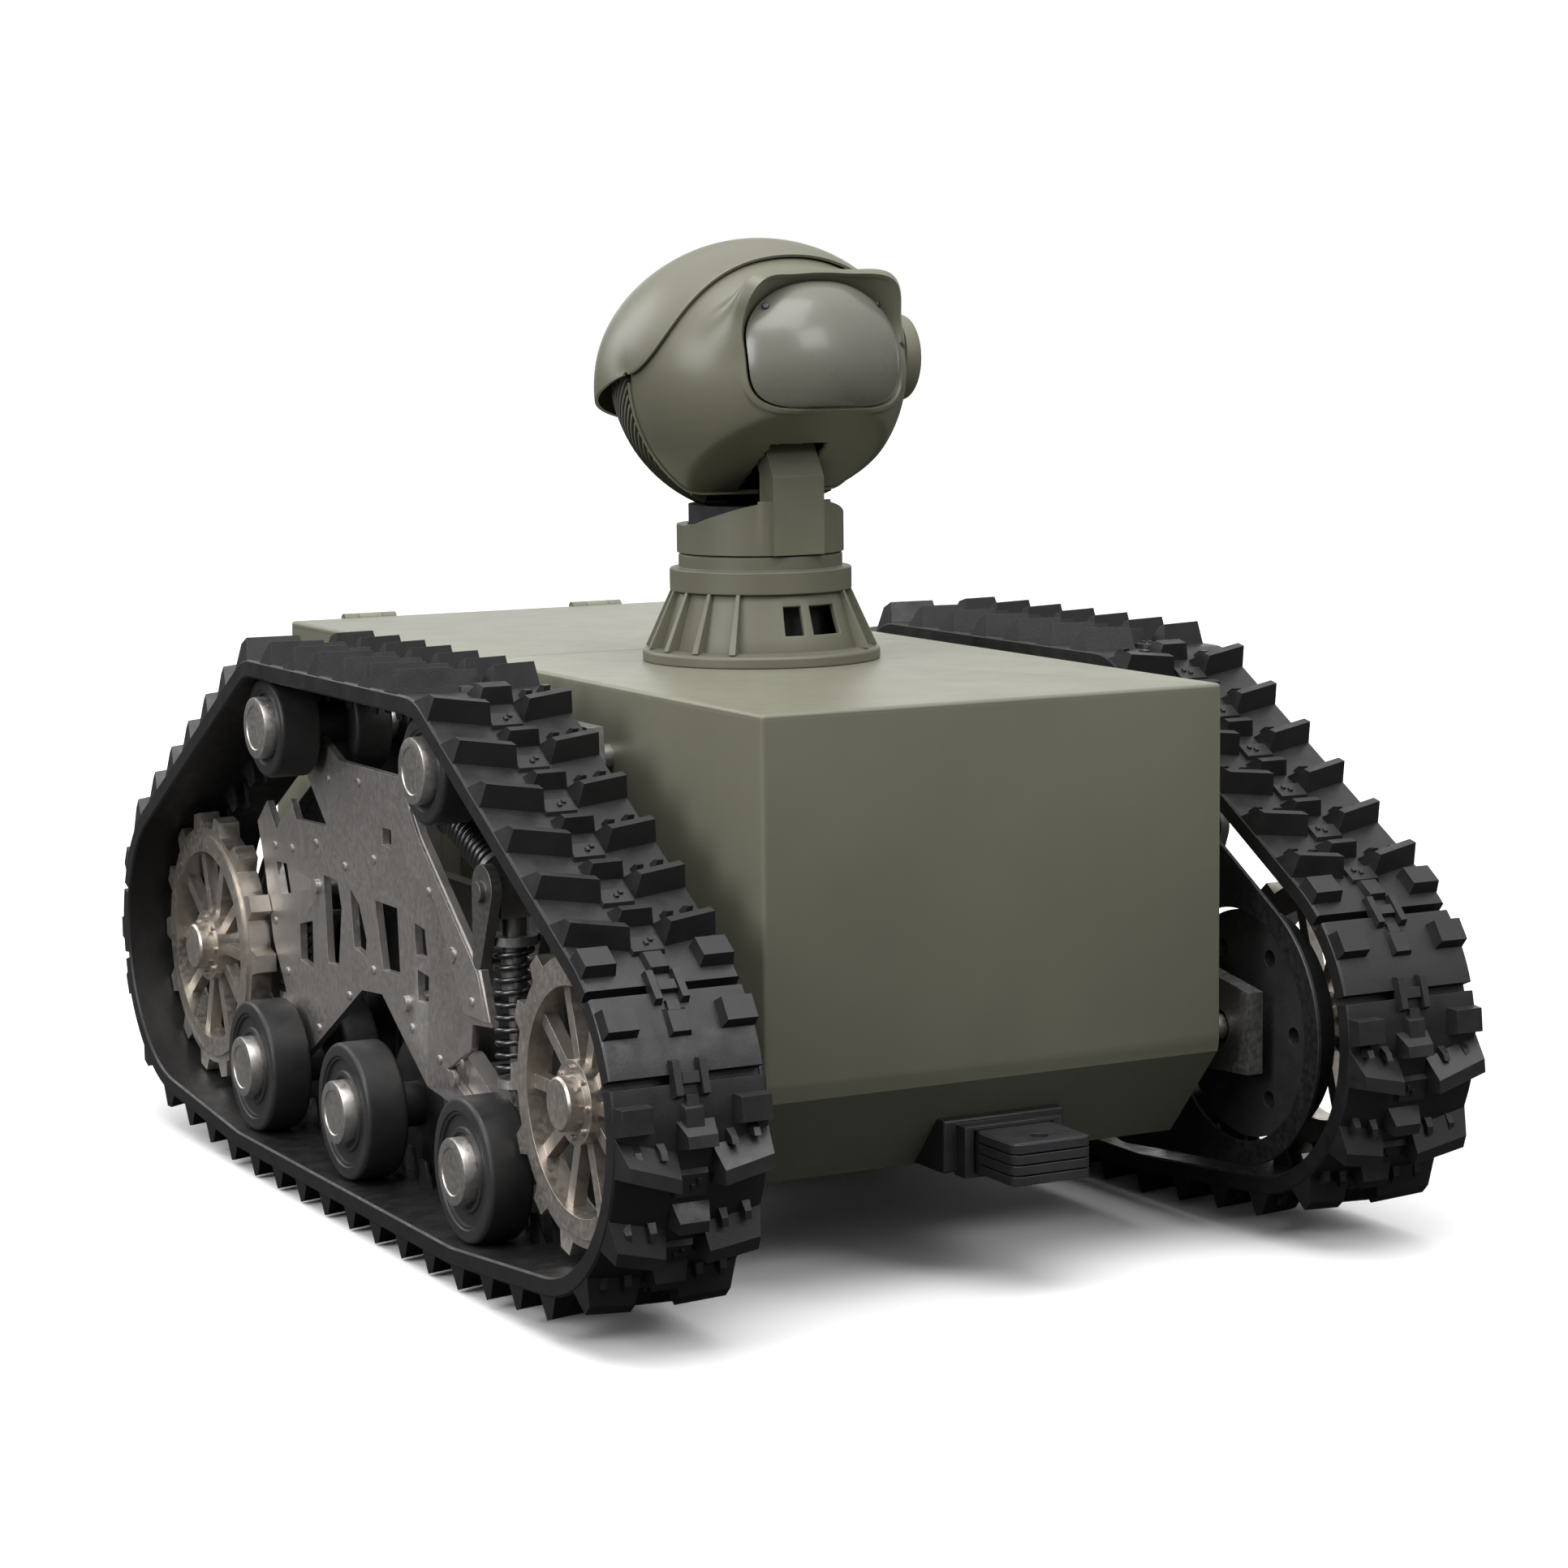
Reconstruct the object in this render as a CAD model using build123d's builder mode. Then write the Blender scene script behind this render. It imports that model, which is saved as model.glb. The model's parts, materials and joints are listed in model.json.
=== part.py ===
"""Tracked robot chassis with a pan and tilt camera head.

Frame: millimetres, +Z up, ground at Z = 0.  The vehicle drives towards -Y, so its own left
side is +X.  X = 0 is the plane of symmetry and Y = 0 lies midway between the sprockets.
"""
import os
from math import acos, atan2, cos, hypot, radians, sin, tan

from build123d import *

os.makedirs("parts", exist_ok=True)

# ---- driving dimensions -------------------------------------------------------------------
FIT = 0.05                 # radial clearance of a running fit
GAP = 0.4                  # clearance between parts that move past each other

# hull
HULL_HALF_W = 172.5
HULL_FRONT_Y = -368.7
HULL_REAR_Y = 450.0
HULL_TOP_Z = 386.0
HULL_KNEE_Z = 137.7        # bottom of the upright front face
HULL_BELLY_Z = 72.7
HULL_BELLY_Y = -308.0      # front edge of the belly
HULL_WALL = 4.0
DECK_T = 4.0
DECK_SPLIT_Y = 70.0        # seam between the fixed deck and the rear hatch
HATCH_AXIS_Y = HULL_REAR_Y + 6.5
HATCH_AXIS_Z = HULL_TOP_Z - 2.0
HATCH_PIN_R = 2.5
HATCH_KNUCKLE_R = 5.0

# tracks
TRACK_IN_X = 215.0         # inner edge of each belt
TRACK_OUT_X = 319.0        # outer edge of each belt
BELT_T = 13.0
LUG_H = 17.0
LUG_PITCH = 47.3           # nominal, rounded to a whole number of links
HORN_H = 20.0
HORN_ROWS_X = (256.0, 266.0)
HORN_T = 3.0

# running gear, as (Y, Z, radius of the belt's inner face round it)
SPROCKET_Y = 337.5
SPROCKET_Z = 148.0
SPROCKET_BELT_R = 105.0
ROAD_Z = 79.0
ROAD_BELT_R = 49.0
ROAD_FRONT_Y = -199.0
ROAD_MIDDLE_Y = 12.0
ROAD_REAR_Y = 198.0
ROLLER_Z = 337.0
ROLLER_BELT_R = 37.0
ROLLER_FRONT_Y = -146.0
ROLLER_REAR_Y = 149.0

SPROCKET_TEETH = 14
SPROCKET_TIP_R = SPROCKET_BELT_R - 2.5
SPROCKET_ROOT_R = 92.0
SPROCKET_RIM_R = 86.0
SPROCKET_INNER_RIM_R = 73.0
SPROCKET_X = (272.0, 288.0)
SPROCKET_HUB_R = 27.0
SPROCKET_CAP_R = 17.5
SPROCKET_CAP_X = 302.0
SPOKES = 10
SPOKE_W = 9.0
GUARD_R = 78.0             # inner guard disc of the front sprocket
GUARD_X = (214.0, 232.0)
GUARD_HOLES = 6
OUTER_TYRE_X = (277.5, 308.5)
INNER_TYRE_X = (222.0, 251.0)
WHEEL_CAP_R = 22.5
WHEEL_CAP_X = 316.0
WHEEL_SLEEVE_R = 16.0
AXLE_R = 9.0

# suspension
FRAME_X = (192.0, 204.0)   # inner track frame, close to the hull
PLATE_X = (266.0, 271.5)   # the side plate, in the gap between the dual wheels
DAMPER_X = 264.0
DAMPER_Y = -190.0
DAMPER_TOP_Z = 243.0
ARM_X = (252.5, 265.5)
ARM_PIVOT_Y = -105.0
ARM_PIVOT_Z = 120.0

# camera head
TURRET_Y = -40.0
HEAD_Z = 590.0
HEAD_R = 105.0             # half width of the head
HEAD_UP_R = 90.0           # half height above its axis
HEAD_DOWN_R = 101.0        # half height below its axis
HEAD_WALL = 4.0
HEAD_STEPS = 8             # spans of the head's outline

SIDES = (("left", 1), ("right", -1))


# ---- helpers ------------------------------------------------------------------------------
def save(part, label):
    """Label a finished piece and write its STEP file."""
    part.label = label
    export_step(part, f"parts/{label}.step")


def side_plane(side, x):
    """Upright plane at distance x from the plane of symmetry, sketched in (Y, Z)."""
    return Plane.YZ.offset(side * x)


def disc(side, y, z, radius, x_from, x_to):
    """Add a round boss whose axis is parallel to X."""
    with BuildSketch(side_plane(side, x_from)) as face:
        with Locations((y, z)):
            Circle(radius)
    extrude(face.sketch, amount=side * (x_to - x_from))


def drill(side, y, z, radius, x_from, x_to):
    """Cut a round hole whose axis is parallel to X."""
    with BuildSketch(side_plane(side, x_from)) as face:
        with Locations((y, z)):
            Circle(radius)
    extrude(face.sketch, amount=side * (x_to - x_from), mode=Mode.SUBTRACT)


def outline(side, points, x_from, x_to, mode=Mode.ADD):
    """Add or cut a plate with a straight-sided outline given in (Y, Z)."""
    with BuildSketch(side_plane(side, x_from)) as face:
        with BuildLine():
            Polyline(*points, close=True)
        make_face()
    extrude(face.sketch, amount=side * (x_to - x_from), mode=mode)


def block(x, y, z, mode=Mode.ADD):
    """Add or cut a box from three (low, high) pairs."""
    with Locations(((x[0] + x[1]) / 2, (y[0] + y[1]) / 2, (z[0] + z[1]) / 2)):
        Box(x[1] - x[0], y[1] - y[0], z[1] - z[0], mode=mode)


# ---- hull ---------------------------------------------------------------------------------
HULL_PROFILE = [
    (HULL_FRONT_Y, HULL_TOP_Z - DECK_T),
    (HULL_FRONT_Y, HULL_KNEE_Z + 13),
    (HULL_FRONT_Y + 4, HULL_KNEE_Z),
    (HULL_BELLY_Y, HULL_BELLY_Z),
    (HULL_REAR_Y - 20, HULL_BELLY_Z),
    (HULL_REAR_Y, HULL_BELLY_Z + 40),
    (HULL_REAR_Y, HULL_TOP_Z - DECK_T),
]
SHELF_W = 14.0             # flange inside the rim that carries the deck and the hatch


def hinge_spans():
    """The (low, high) X spans of the hatch knuckles and of the hull knuckles beside them."""
    hatch = [(-112.0, -92.0), (92.0, 112.0)]
    hull = [(low - 12.4, low - 0.4) for low, _ in hatch]
    hull += [(high + 0.4, high + 12.4) for _, high in hatch]
    return hatch, hull


HATCH_KNUCKLES, HULL_KNUCKLES = hinge_spans()

with BuildPart() as hull_tub:
    with BuildSketch(Plane.YZ):
        with BuildLine():
            Polyline(*HULL_PROFILE, close=True)
        make_face()
    extrude(amount=HULL_HALF_W, both=True)
    fillet(hull_tub.edges().filter_by(Axis.Z), 3.5)
    rim = hull_tub.faces().sort_by(Axis.Z)[-1]
    offset(amount=-HULL_WALL, openings=rim)
    # inward shelf under the deck
    shelf_low = HULL_TOP_Z - DECK_T - 3
    shelf_high = HULL_TOP_Z - DECK_T
    inner_w = HULL_HALF_W - HULL_WALL
    for sign in (-1, 1):
        block(sorted((sign * inner_w, sign * (inner_w - SHELF_W))),
              (HULL_FRONT_Y + HULL_WALL, HULL_REAR_Y - HULL_WALL), (shelf_low, shelf_high))
    block((-inner_w, inner_w), (HULL_FRONT_Y + HULL_WALL, HULL_FRONT_Y + HULL_WALL + SHELF_W),
          (shelf_low, shelf_high))
    block((-inner_w, inner_w), (HULL_REAR_Y - HULL_WALL - SHELF_W, HULL_REAR_Y - HULL_WALL),
          (shelf_low, shelf_high))
    block((-inner_w, inner_w), (DECK_SPLIT_Y - SHELF_W, DECK_SPLIT_Y + SHELF_W), (shelf_low, shelf_high))
    # cross beam that carries the deck seam
    block((-inner_w, inner_w), (DECK_SPLIT_Y - 3, DECK_SPLIT_Y + 3), (shelf_low - 22, shelf_low))
    # hinge knuckles on the back wall
    for low, high in HULL_KNUCKLES:
        block((low, high), (HULL_REAR_Y - 0.5, HATCH_AXIS_Y), (HATCH_AXIS_Z - 14, HATCH_AXIS_Z - 3))
        disc(1, HATCH_AXIS_Y, HATCH_AXIS_Z, HATCH_KNUCKLE_R, low, high)
        drill(1, HATCH_AXIS_Y, HATCH_AXIS_Z, HATCH_PIN_R + 0.02, low - 1, high + 1)
    # holes for the motor output shafts
    drill(1, -SPROCKET_Y, SPROCKET_Z, 16, -HULL_HALF_W - 1, -HULL_HALF_W + 10)
    drill(1, -SPROCKET_Y, SPROCKET_Z, 16, HULL_HALF_W - 10, HULL_HALF_W + 1)
save(hull_tub.part, "hull_tub")

CABLE_HOLE_R = 24.0
with BuildPart() as front_deck:
    block((-HULL_HALF_W, HULL_HALF_W), (HULL_FRONT_Y, DECK_SPLIT_Y - 0.6), (HULL_TOP_Z - DECK_T, HULL_TOP_Z))
    fillet(front_deck.edges().filter_by(Axis.Z).sort_by(Axis.Y)[:2], 3.5)
    fillet(front_deck.faces().sort_by(Axis.Z)[-1].edges().sort_by(Axis.Y)[:-1], 2.5)
    with Locations((0, TURRET_Y, HULL_TOP_Z)):
        Hole(CABLE_HOLE_R)
save(front_deck.part, "front_deck")

with BuildPart() as rear_hatch:
    block((-HULL_HALF_W, HULL_HALF_W), (DECK_SPLIT_Y + 0.6, HULL_REAR_Y),
          (HULL_TOP_Z - DECK_T + 0.3, HULL_TOP_Z))
    fillet(rear_hatch.edges().filter_by(Axis.Z).sort_by(Axis.Y)[-2:], 3.5)
    fillet(rear_hatch.faces().sort_by(Axis.Z)[-1].edges().sort_by(Axis.Y)[1:], 2.5)
    for low, high in HATCH_KNUCKLES:
        block((low, high), (HULL_REAR_Y - 2, HATCH_AXIS_Y), (HULL_TOP_Z - 2.6, HULL_TOP_Z))
        disc(1, HATCH_AXIS_Y, HATCH_AXIS_Z, HATCH_KNUCKLE_R, low, high)
        drill(1, HATCH_AXIS_Y, HATCH_AXIS_Z, HATCH_PIN_R + FIT, low - 1, high + 1)
save(rear_hatch.part, "rear_hatch")

with BuildPart() as hatch_hinge_pins:
    for low, high in HATCH_KNUCKLES:
        disc(1, HATCH_AXIS_Y, HATCH_AXIS_Z, HATCH_PIN_R, low - 12.4, high + 12.4)
save(hatch_hinge_pins.part, "hatch_hinge_pins")

# ---- coupler on the sloping nose plate ----------------------------------------------------
COUPLER_X = 15.0           # the coupler sits a little to the left of the middle
TONGUE_HALF_W = 30.0
TONGUE_Z = (75.0, 103.0)
TONGUE_LEAVES = 4
TONGUE_FRONT_Y = -410.0
NOSE_SLOPE = (HULL_BELLY_Y - HULL_FRONT_Y - 4) / (HULL_KNEE_Z - HULL_BELLY_Z)


def nose_y(z):
    """Y of the sloping nose plate's outer face at height z."""
    return HULL_BELLY_Y - (z - HULL_BELLY_Z) * NOSE_SLOPE


BRACKET_Y = nose_y(110) - 8
with BuildPart() as coupler_bracket:
    outline(1, [(BRACKET_Y, 74), (BRACKET_Y, 109), (nose_y(109) - 0.3, 109), (nose_y(74) - 0.3, 74)],
            COUPLER_X - 46, COUPLER_X + 46)
    fillet(coupler_bracket.faces().sort_by(Axis.Y)[0].edges(), 2)
    # shallow tray with lips that holds the tongue
    block((COUPLER_X - 37, COUPLER_X + 37), (BRACKET_Y - 12, BRACKET_Y + 2), (72, 106))
    block((COUPLER_X - TONGUE_HALF_W - 0.3, COUPLER_X + TONGUE_HALF_W + 0.3), (BRACKET_Y - 13, BRACKET_Y - 2),
          (TONGUE_Z[0] - 0.3, TONGUE_Z[1] + 0.3), mode=Mode.SUBTRACT)
save(coupler_bracket.part, "coupler_bracket")

PIN_HOLE_R = 6.0
PIN_HOLE_Y = TONGUE_FRONT_Y + 18
with BuildPart() as coupler_tongue:
    leaf = (TONGUE_Z[1] - TONGUE_Z[0]) / TONGUE_LEAVES
    core = (COUPLER_X - TONGUE_HALF_W + 2, COUPLER_X + TONGUE_HALF_W - 2)
    block(core, (TONGUE_FRONT_Y + 3, BRACKET_Y - 2.3), TONGUE_Z)
    for i in range(TONGUE_LEAVES):
        low = TONGUE_Z[0] + i * leaf
        with BuildSketch(Plane.XY.offset(low + 0.6)):
            with Locations((COUPLER_X, (TONGUE_FRONT_Y + BRACKET_Y - 12.5) / 2)):
                RectangleRounded(2 * TONGUE_HALF_W, BRACKET_Y - 12.5 - TONGUE_FRONT_Y, 7)
        extrude(amount=leaf - 1.2)
    with Locations((COUPLER_X, PIN_HOLE_Y, TONGUE_Z[1])):
        Hole(PIN_HOLE_R)
save(coupler_tongue.part, "coupler_tongue")

# ---- equipment inside the hull ------------------------------------------------------------
FLOOR_Z = HULL_BELLY_Z + HULL_WALL
with BuildPart() as battery_pack:
    block((-120, 120), (120, 330), (FLOOR_Z, FLOOR_Z + 95))
    fillet(battery_pack.edges().filter_by(Axis.Z), 8)
    block((-30, 30), (200, 216), (FLOOR_Z + 94, FLOOR_Z + 112))
    block((-22, 22), (199, 217), (FLOOR_Z + 95, FLOOR_Z + 107), mode=Mode.SUBTRACT)
save(battery_pack.part, "battery_pack")

with BuildPart() as motor_controller:
    block((-90, 90), (-130, 60), (FLOOR_Z, FLOOR_Z + 12))
    for i in range(15):
        block((-84 + i * 12, -81 + i * 12), (-126, 56), (FLOOR_Z + 12, FLOOR_Z + 34))
    block((-90, 90), (-60, -10), (FLOOR_Z + 12, FLOOR_Z + 26))
save(motor_controller.part, "motor_controller")

MOTOR_R = 34.0
MOTOR_Y = -SPROCKET_Y + 38
MOTOR_Z = SPROCKET_Z + 28
for name, side in SIDES:
    with BuildPart() as drive_motor:
        disc(side, MOTOR_Y, MOTOR_Z, MOTOR_R, 40, 120)
        disc(side, MOTOR_Y, MOTOR_Z, MOTOR_R - 8, 20, 40)
        block(sorted((side * 120, side * 160)), (-SPROCKET_Y - 14, MOTOR_Y + 36), (SPROCKET_Z - 12, MOTOR_Z + 36))
        disc(side, -SPROCKET_Y, SPROCKET_Z, 15, 160, 176)
        drill(side, -SPROCKET_Y, SPROCKET_Z, AXLE_R + FIT, 130, 177)
    save(drive_motor.part, f"{name}_drive_motor")

# ---- belts --------------------------------------------------------------------------------
LOOP = [
    (ROAD_FRONT_Y, ROAD_Z, ROAD_BELT_R),
    (ROAD_REAR_Y, ROAD_Z, ROAD_BELT_R),
    (SPROCKET_Y, SPROCKET_Z, SPROCKET_BELT_R),
    (ROLLER_REAR_Y, ROLLER_Z, ROLLER_BELT_R),
    (ROLLER_FRONT_Y, ROLLER_Z, ROLLER_BELT_R),
    (-SPROCKET_Y, SPROCKET_Z, SPROCKET_BELT_R),
]


def tangent_normal(first, second):
    """Angle of the outward normal of the belt run from one wheel to the next."""
    (y1, z1, r1), (y2, z2, r2) = first, second
    return atan2(z2 - z1, y2 - y1) - acos((r1 - r2) / hypot(y2 - y1, z2 - z1))


def belt_runs():
    """Arcs and straight runs of the belt's inner face, as (kind, length, shape)."""
    normals = [tangent_normal(LOOP[i], LOOP[(i + 1) % len(LOOP)]) for i in range(len(LOOP))]
    runs = []
    for i, (y, z, r) in enumerate(LOOP):
        start, end = normals[i - 1], normals[i]
        while end < start:
            end += radians(360)
        runs.append(("arc", r * (end - start), (y, z, r, start)))
        y2, z2, r2 = LOOP[(i + 1) % len(LOOP)]
        p1 = (y + r * cos(end), z + r * sin(end))
        p2 = (y2 + r2 * cos(end), z2 + r2 * sin(end))
        runs.append(("line", hypot(p2[0] - p1[0], p2[1] - p1[1]), (p1, p2, end)))
    return runs


RUNS = belt_runs()
BELT_LENGTH = sum(length for _, length, _ in RUNS)
LINKS = round(BELT_LENGTH / LUG_PITCH)
PITCH = BELT_LENGTH / LINKS


def belt_station(distance):
    """Point on the belt's inner face and the angle of its outward normal, in (Y, Z)."""
    distance %= BELT_LENGTH
    for kind, length, data in RUNS:
        if distance <= length:
            if kind == "arc":
                y, z, r, start = data
                angle = start + distance / r
                return y + r * cos(angle), z + r * sin(angle), angle
            p1, p2, angle = data
            t = distance / length
            return p1[0] + t * (p2[0] - p1[0]), p1[1] + t * (p2[1] - p1[1]), angle
        distance -= length
    return belt_station(0)


def teeth(side, x_span, profile, shift):
    """One row of lugs or horns: profile points are (along the belt, outwards from its inner face)."""
    with BuildSketch(side_plane(side, x_span[0])) as row:
        for i in range(LINKS):
            y, z, angle = belt_station((i + shift) * PITCH)
            out, along = (cos(angle), sin(angle)), (-sin(angle), cos(angle))
            with BuildLine():
                Polyline(*[(y + a * along[0] + h * out[0], z + a * along[1] + h * out[1])
                           for a, h in profile], close=True)
            make_face()
    extrude(row.sketch, amount=side * (x_span[1] - x_span[0]))


BELT_TOP = BELT_T + LUG_H
WIDE_LUG = [(-13, BELT_T - 2), (-9, BELT_TOP), (7, BELT_TOP), (13, BELT_T - 2)]
SMALL_LUG = [(-9, BELT_T - 2), (-6, BELT_TOP - 4), (6, BELT_TOP - 4), (9, BELT_T - 2)]
HORN = [(-11, 1), (-4, -HORN_H), (4, -HORN_H), (11, 1)]
OUTER_LUG_X = (283.0, TRACK_OUT_X)
INNER_LUG_X = (TRACK_IN_X, 251.0)
MIDDLE_LUG_X = (255.0, 279.0)

for name, side in SIDES:
    with BuildPart() as track_belt:
        with BuildSketch(side_plane(side, TRACK_IN_X)):
            for y, z, r in LOOP:
                with Locations((y, z)):
                    Circle(r + BELT_T)
            make_hull()
        extrude(amount=side * (TRACK_OUT_X - TRACK_IN_X))
        teeth(side, OUTER_LUG_X, WIDE_LUG, 0.0)
        teeth(side, INNER_LUG_X, WIDE_LUG, 0.0)
        teeth(side, MIDDLE_LUG_X, SMALL_LUG, 0.5)
        with BuildSketch(side_plane(side, TRACK_IN_X - 1)):
            for y, z, r in LOOP:
                with Locations((y, z)):
                    Circle(r)
            make_hull()
        extrude(amount=side * (TRACK_OUT_X - TRACK_IN_X + 2), mode=Mode.SUBTRACT)
        for row in HORN_ROWS_X:
            teeth(side, (row, row + HORN_T), HORN, 0.5)
    save(track_belt.part, f"{name}_track_belt")

# ---- sprockets ----------------------------------------------------------------------------
for name, side in SIDES:
    for place, y in (("front", -SPROCKET_Y), ("rear", SPROCKET_Y)):
        z = SPROCKET_Z
        with BuildPart() as sprocket:
            disc(side, y, z, SPROCKET_ROOT_R, SPROCKET_X[0], SPROCKET_X[1])
            with BuildSketch(side_plane(side, SPROCKET_X[0])):
                with Locations((y, z)):
                    with PolarLocations(0, SPROCKET_TEETH):
                        Polygon((SPROCKET_ROOT_R - 4, -11), (SPROCKET_TIP_R, -6.5),
                                (SPROCKET_TIP_R, 6.5), (SPROCKET_ROOT_R - 4, 11), align=None)
            extrude(amount=side * (SPROCKET_X[1] - SPROCKET_X[0]))
            drill(side, y, z, SPROCKET_RIM_R - 2, SPROCKET_X[1] - 4, SPROCKET_X[1] + 1)
            with BuildSketch(side_plane(side, SPROCKET_X[0])):
                with Locations((y, z)):
                    Circle(SPROCKET_RIM_R)
                    Circle(SPROCKET_INNER_RIM_R, mode=Mode.SUBTRACT)
            extrude(amount=side * (SPROCKET_X[1] - SPROCKET_X[0] + 2))
            with BuildSketch(side_plane(side, SPROCKET_X[0] - 1)):
                with Locations((y, z)):
                    Circle(SPROCKET_INNER_RIM_R)
            extrude(amount=side * (SPROCKET_X[1] - SPROCKET_X[0] + 4), mode=Mode.SUBTRACT)
            with BuildSketch(side_plane(side, SPROCKET_X[0] + 3)):
                with Locations((y, z)):
                    with PolarLocations(SPROCKET_INNER_RIM_R / 2, SPOKES):
                        Rectangle(SPROCKET_INNER_RIM_R + 4, SPOKE_W)
            extrude(amount=side * 9)
            disc(side, y, z, SPROCKET_HUB_R, SPROCKET_X[0] - 4, SPROCKET_X[1] + 3)
            disc(side, y, z, SPROCKET_CAP_R, SPROCKET_X[0] - 12, SPROCKET_CAP_X)
            chamfer(sprocket.faces().sort_by(Axis.X)[-1 if side > 0 else 0].edges(), 1.5)
            with BuildSketch(side_plane(side, SPROCKET_X[1] + 3)):
                with Locations((y, z)):
                    with PolarLocations(22, 8):
                        Circle(2.2)
            extrude(amount=side * 2.5)
            if place == "front":
                disc(side, y, z, AXLE_R, 140, SPROCKET_X[0])
                disc(side, y, z, SPROCKET_CAP_R, GUARD_X[0] - 7, GUARD_X[1] + 12)
                disc(side, y, z, GUARD_R, *GUARD_X)
                with BuildSketch(side_plane(side, GUARD_X[0] - 1)):
                    with Locations((y, z)):
                        with PolarLocations(GUARD_R - 22, GUARD_HOLES):
                            Circle(6)
                extrude(amount=side * (GUARD_X[1] - GUARD_X[0] + 2), mode=Mode.SUBTRACT)
            else:
                drill(side, y, z, AXLE_R + FIT, SPROCKET_X[0] - 13, SPROCKET_CAP_X - 8)
        save(sprocket.part, f"{name}_{place}_sprocket")

# ---- road wheels and return rollers -------------------------------------------------------
WHEELS = (
    ("front_road_wheel", ROAD_FRONT_Y, ROAD_Z, ROAD_BELT_R - GAP),
    ("middle_road_wheel", ROAD_MIDDLE_Y, ROAD_Z, ROAD_BELT_R - GAP),
    ("rear_road_wheel", ROAD_REAR_Y, ROAD_Z, ROAD_BELT_R - GAP),
    ("front_return_roller", ROLLER_FRONT_Y, ROLLER_Z, ROLLER_BELT_R - GAP),
    ("rear_return_roller", ROLLER_REAR_Y, ROLLER_Z, ROLLER_BELT_R - GAP),
)
BLIND_BORE_X = 304.0

for name, side in SIDES:
    for label, y, z, radius in WHEELS:
        on_arm = label == "front_road_wheel"
        with BuildPart() as wheel:
            disc(side, y, z, radius, *OUTER_TYRE_X)
            outer = wheel.edges().filter_by(GeomType.CIRCLE).sort_by(SortBy.RADIUS)[-2:]
            fillet(outer, 4)
            drill(side, y, z, radius - 9, OUTER_TYRE_X[1] - 3, OUTER_TYRE_X[1] + 1)
            disc(side, y, z, WHEEL_CAP_R, OUTER_TYRE_X[1] - 4, WHEEL_CAP_X)
            face = wheel.faces().sort_by(Axis.X)[-1 if side > 0 else 0]
            fillet(face.edges(), 2)
            if not on_arm:
                disc(side, y, z, WHEEL_SLEEVE_R, INNER_TYRE_X[0], OUTER_TYRE_X[0] + 1)
                disc(side, y, z, radius, *INNER_TYRE_X)
            drill(side, y, z, AXLE_R + FIT, INNER_TYRE_X[0] - 1, BLIND_BORE_X)
        save(wheel.part, f"{name}_{label}")

# ---- fixed axles --------------------------------------------------------------------------
for name, side in SIDES:
    with BuildPart() as axle_set:
        for label, y, z, radius in WHEELS:
            if label != "front_road_wheel":
                disc(side, y, z, AXLE_R, HULL_HALF_W, BLIND_BORE_X - 1)
                disc(side, y, z, AXLE_R + 5, FRAME_X[1], INNER_TYRE_X[0] - 1)
        disc(side, SPROCKET_Y, SPROCKET_Z, AXLE_R, HULL_HALF_W, SPROCKET_CAP_X - 9)
        disc(side, SPROCKET_Y, SPROCKET_Z, AXLE_R + 5, FRAME_X[1], SPROCKET_X[0] - 13)
    save(axle_set.part, f"{name}_axle_set")

# ---- inner track frame --------------------------------------------------------------------
PLATE_POSTS = ((-108, 205), (146, 218), (-22, 158))

for name, side in SIDES:
    with BuildPart() as track_frame:
        outline(side, [(-372, 120), (-372, 176), (-200, 205), (-180, 362), (-118, 362), (-95, 230),
                       (98, 230), (120, 362), (180, 362), (205, 205), (372, 176), (372, 120),
                       (235, 55), (-60, 55), (-150, 105)], *FRAME_X)
        with BuildSketch(side_plane(side, FRAME_X[0] - 1)):
            with Locations((60, 120), (262, 145), (-258, 150)):
                RectangleRounded(44, 44, 8)
        extrude(amount=side * (FRAME_X[1] - FRAME_X[0] + 2), mode=Mode.SUBTRACT)
        # stand-offs against the hull side
        for y, z in ((-300, 150), (-60, 215), (60, 215), (300, 150)):
            disc(side, y, z, 11, HULL_HALF_W, FRAME_X[0])
        # posts that carry the outer side plate
        for y, z in PLATE_POSTS:
            disc(side, y, z, 8, FRAME_X[0], PLATE_X[0])
        disc(side, ARM_PIVOT_Y, ARM_PIVOT_Z, 8, FRAME_X[0], PLATE_X[0])
        for label, y, z, radius in WHEELS:
            if label != "front_road_wheel":
                drill(side, y, z, AXLE_R + 0.02, FRAME_X[0] - 1, FRAME_X[1] + 1)
        drill(side, SPROCKET_Y, SPROCKET_Z, AXLE_R + 0.02, FRAME_X[0] - 1, FRAME_X[1] + 1)
        drill(side, -SPROCKET_Y, SPROCKET_Z, AXLE_R + 3, FRAME_X[0] - 1, FRAME_X[1] + 1)
    save(track_frame.part, f"{name}_track_frame")

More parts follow.
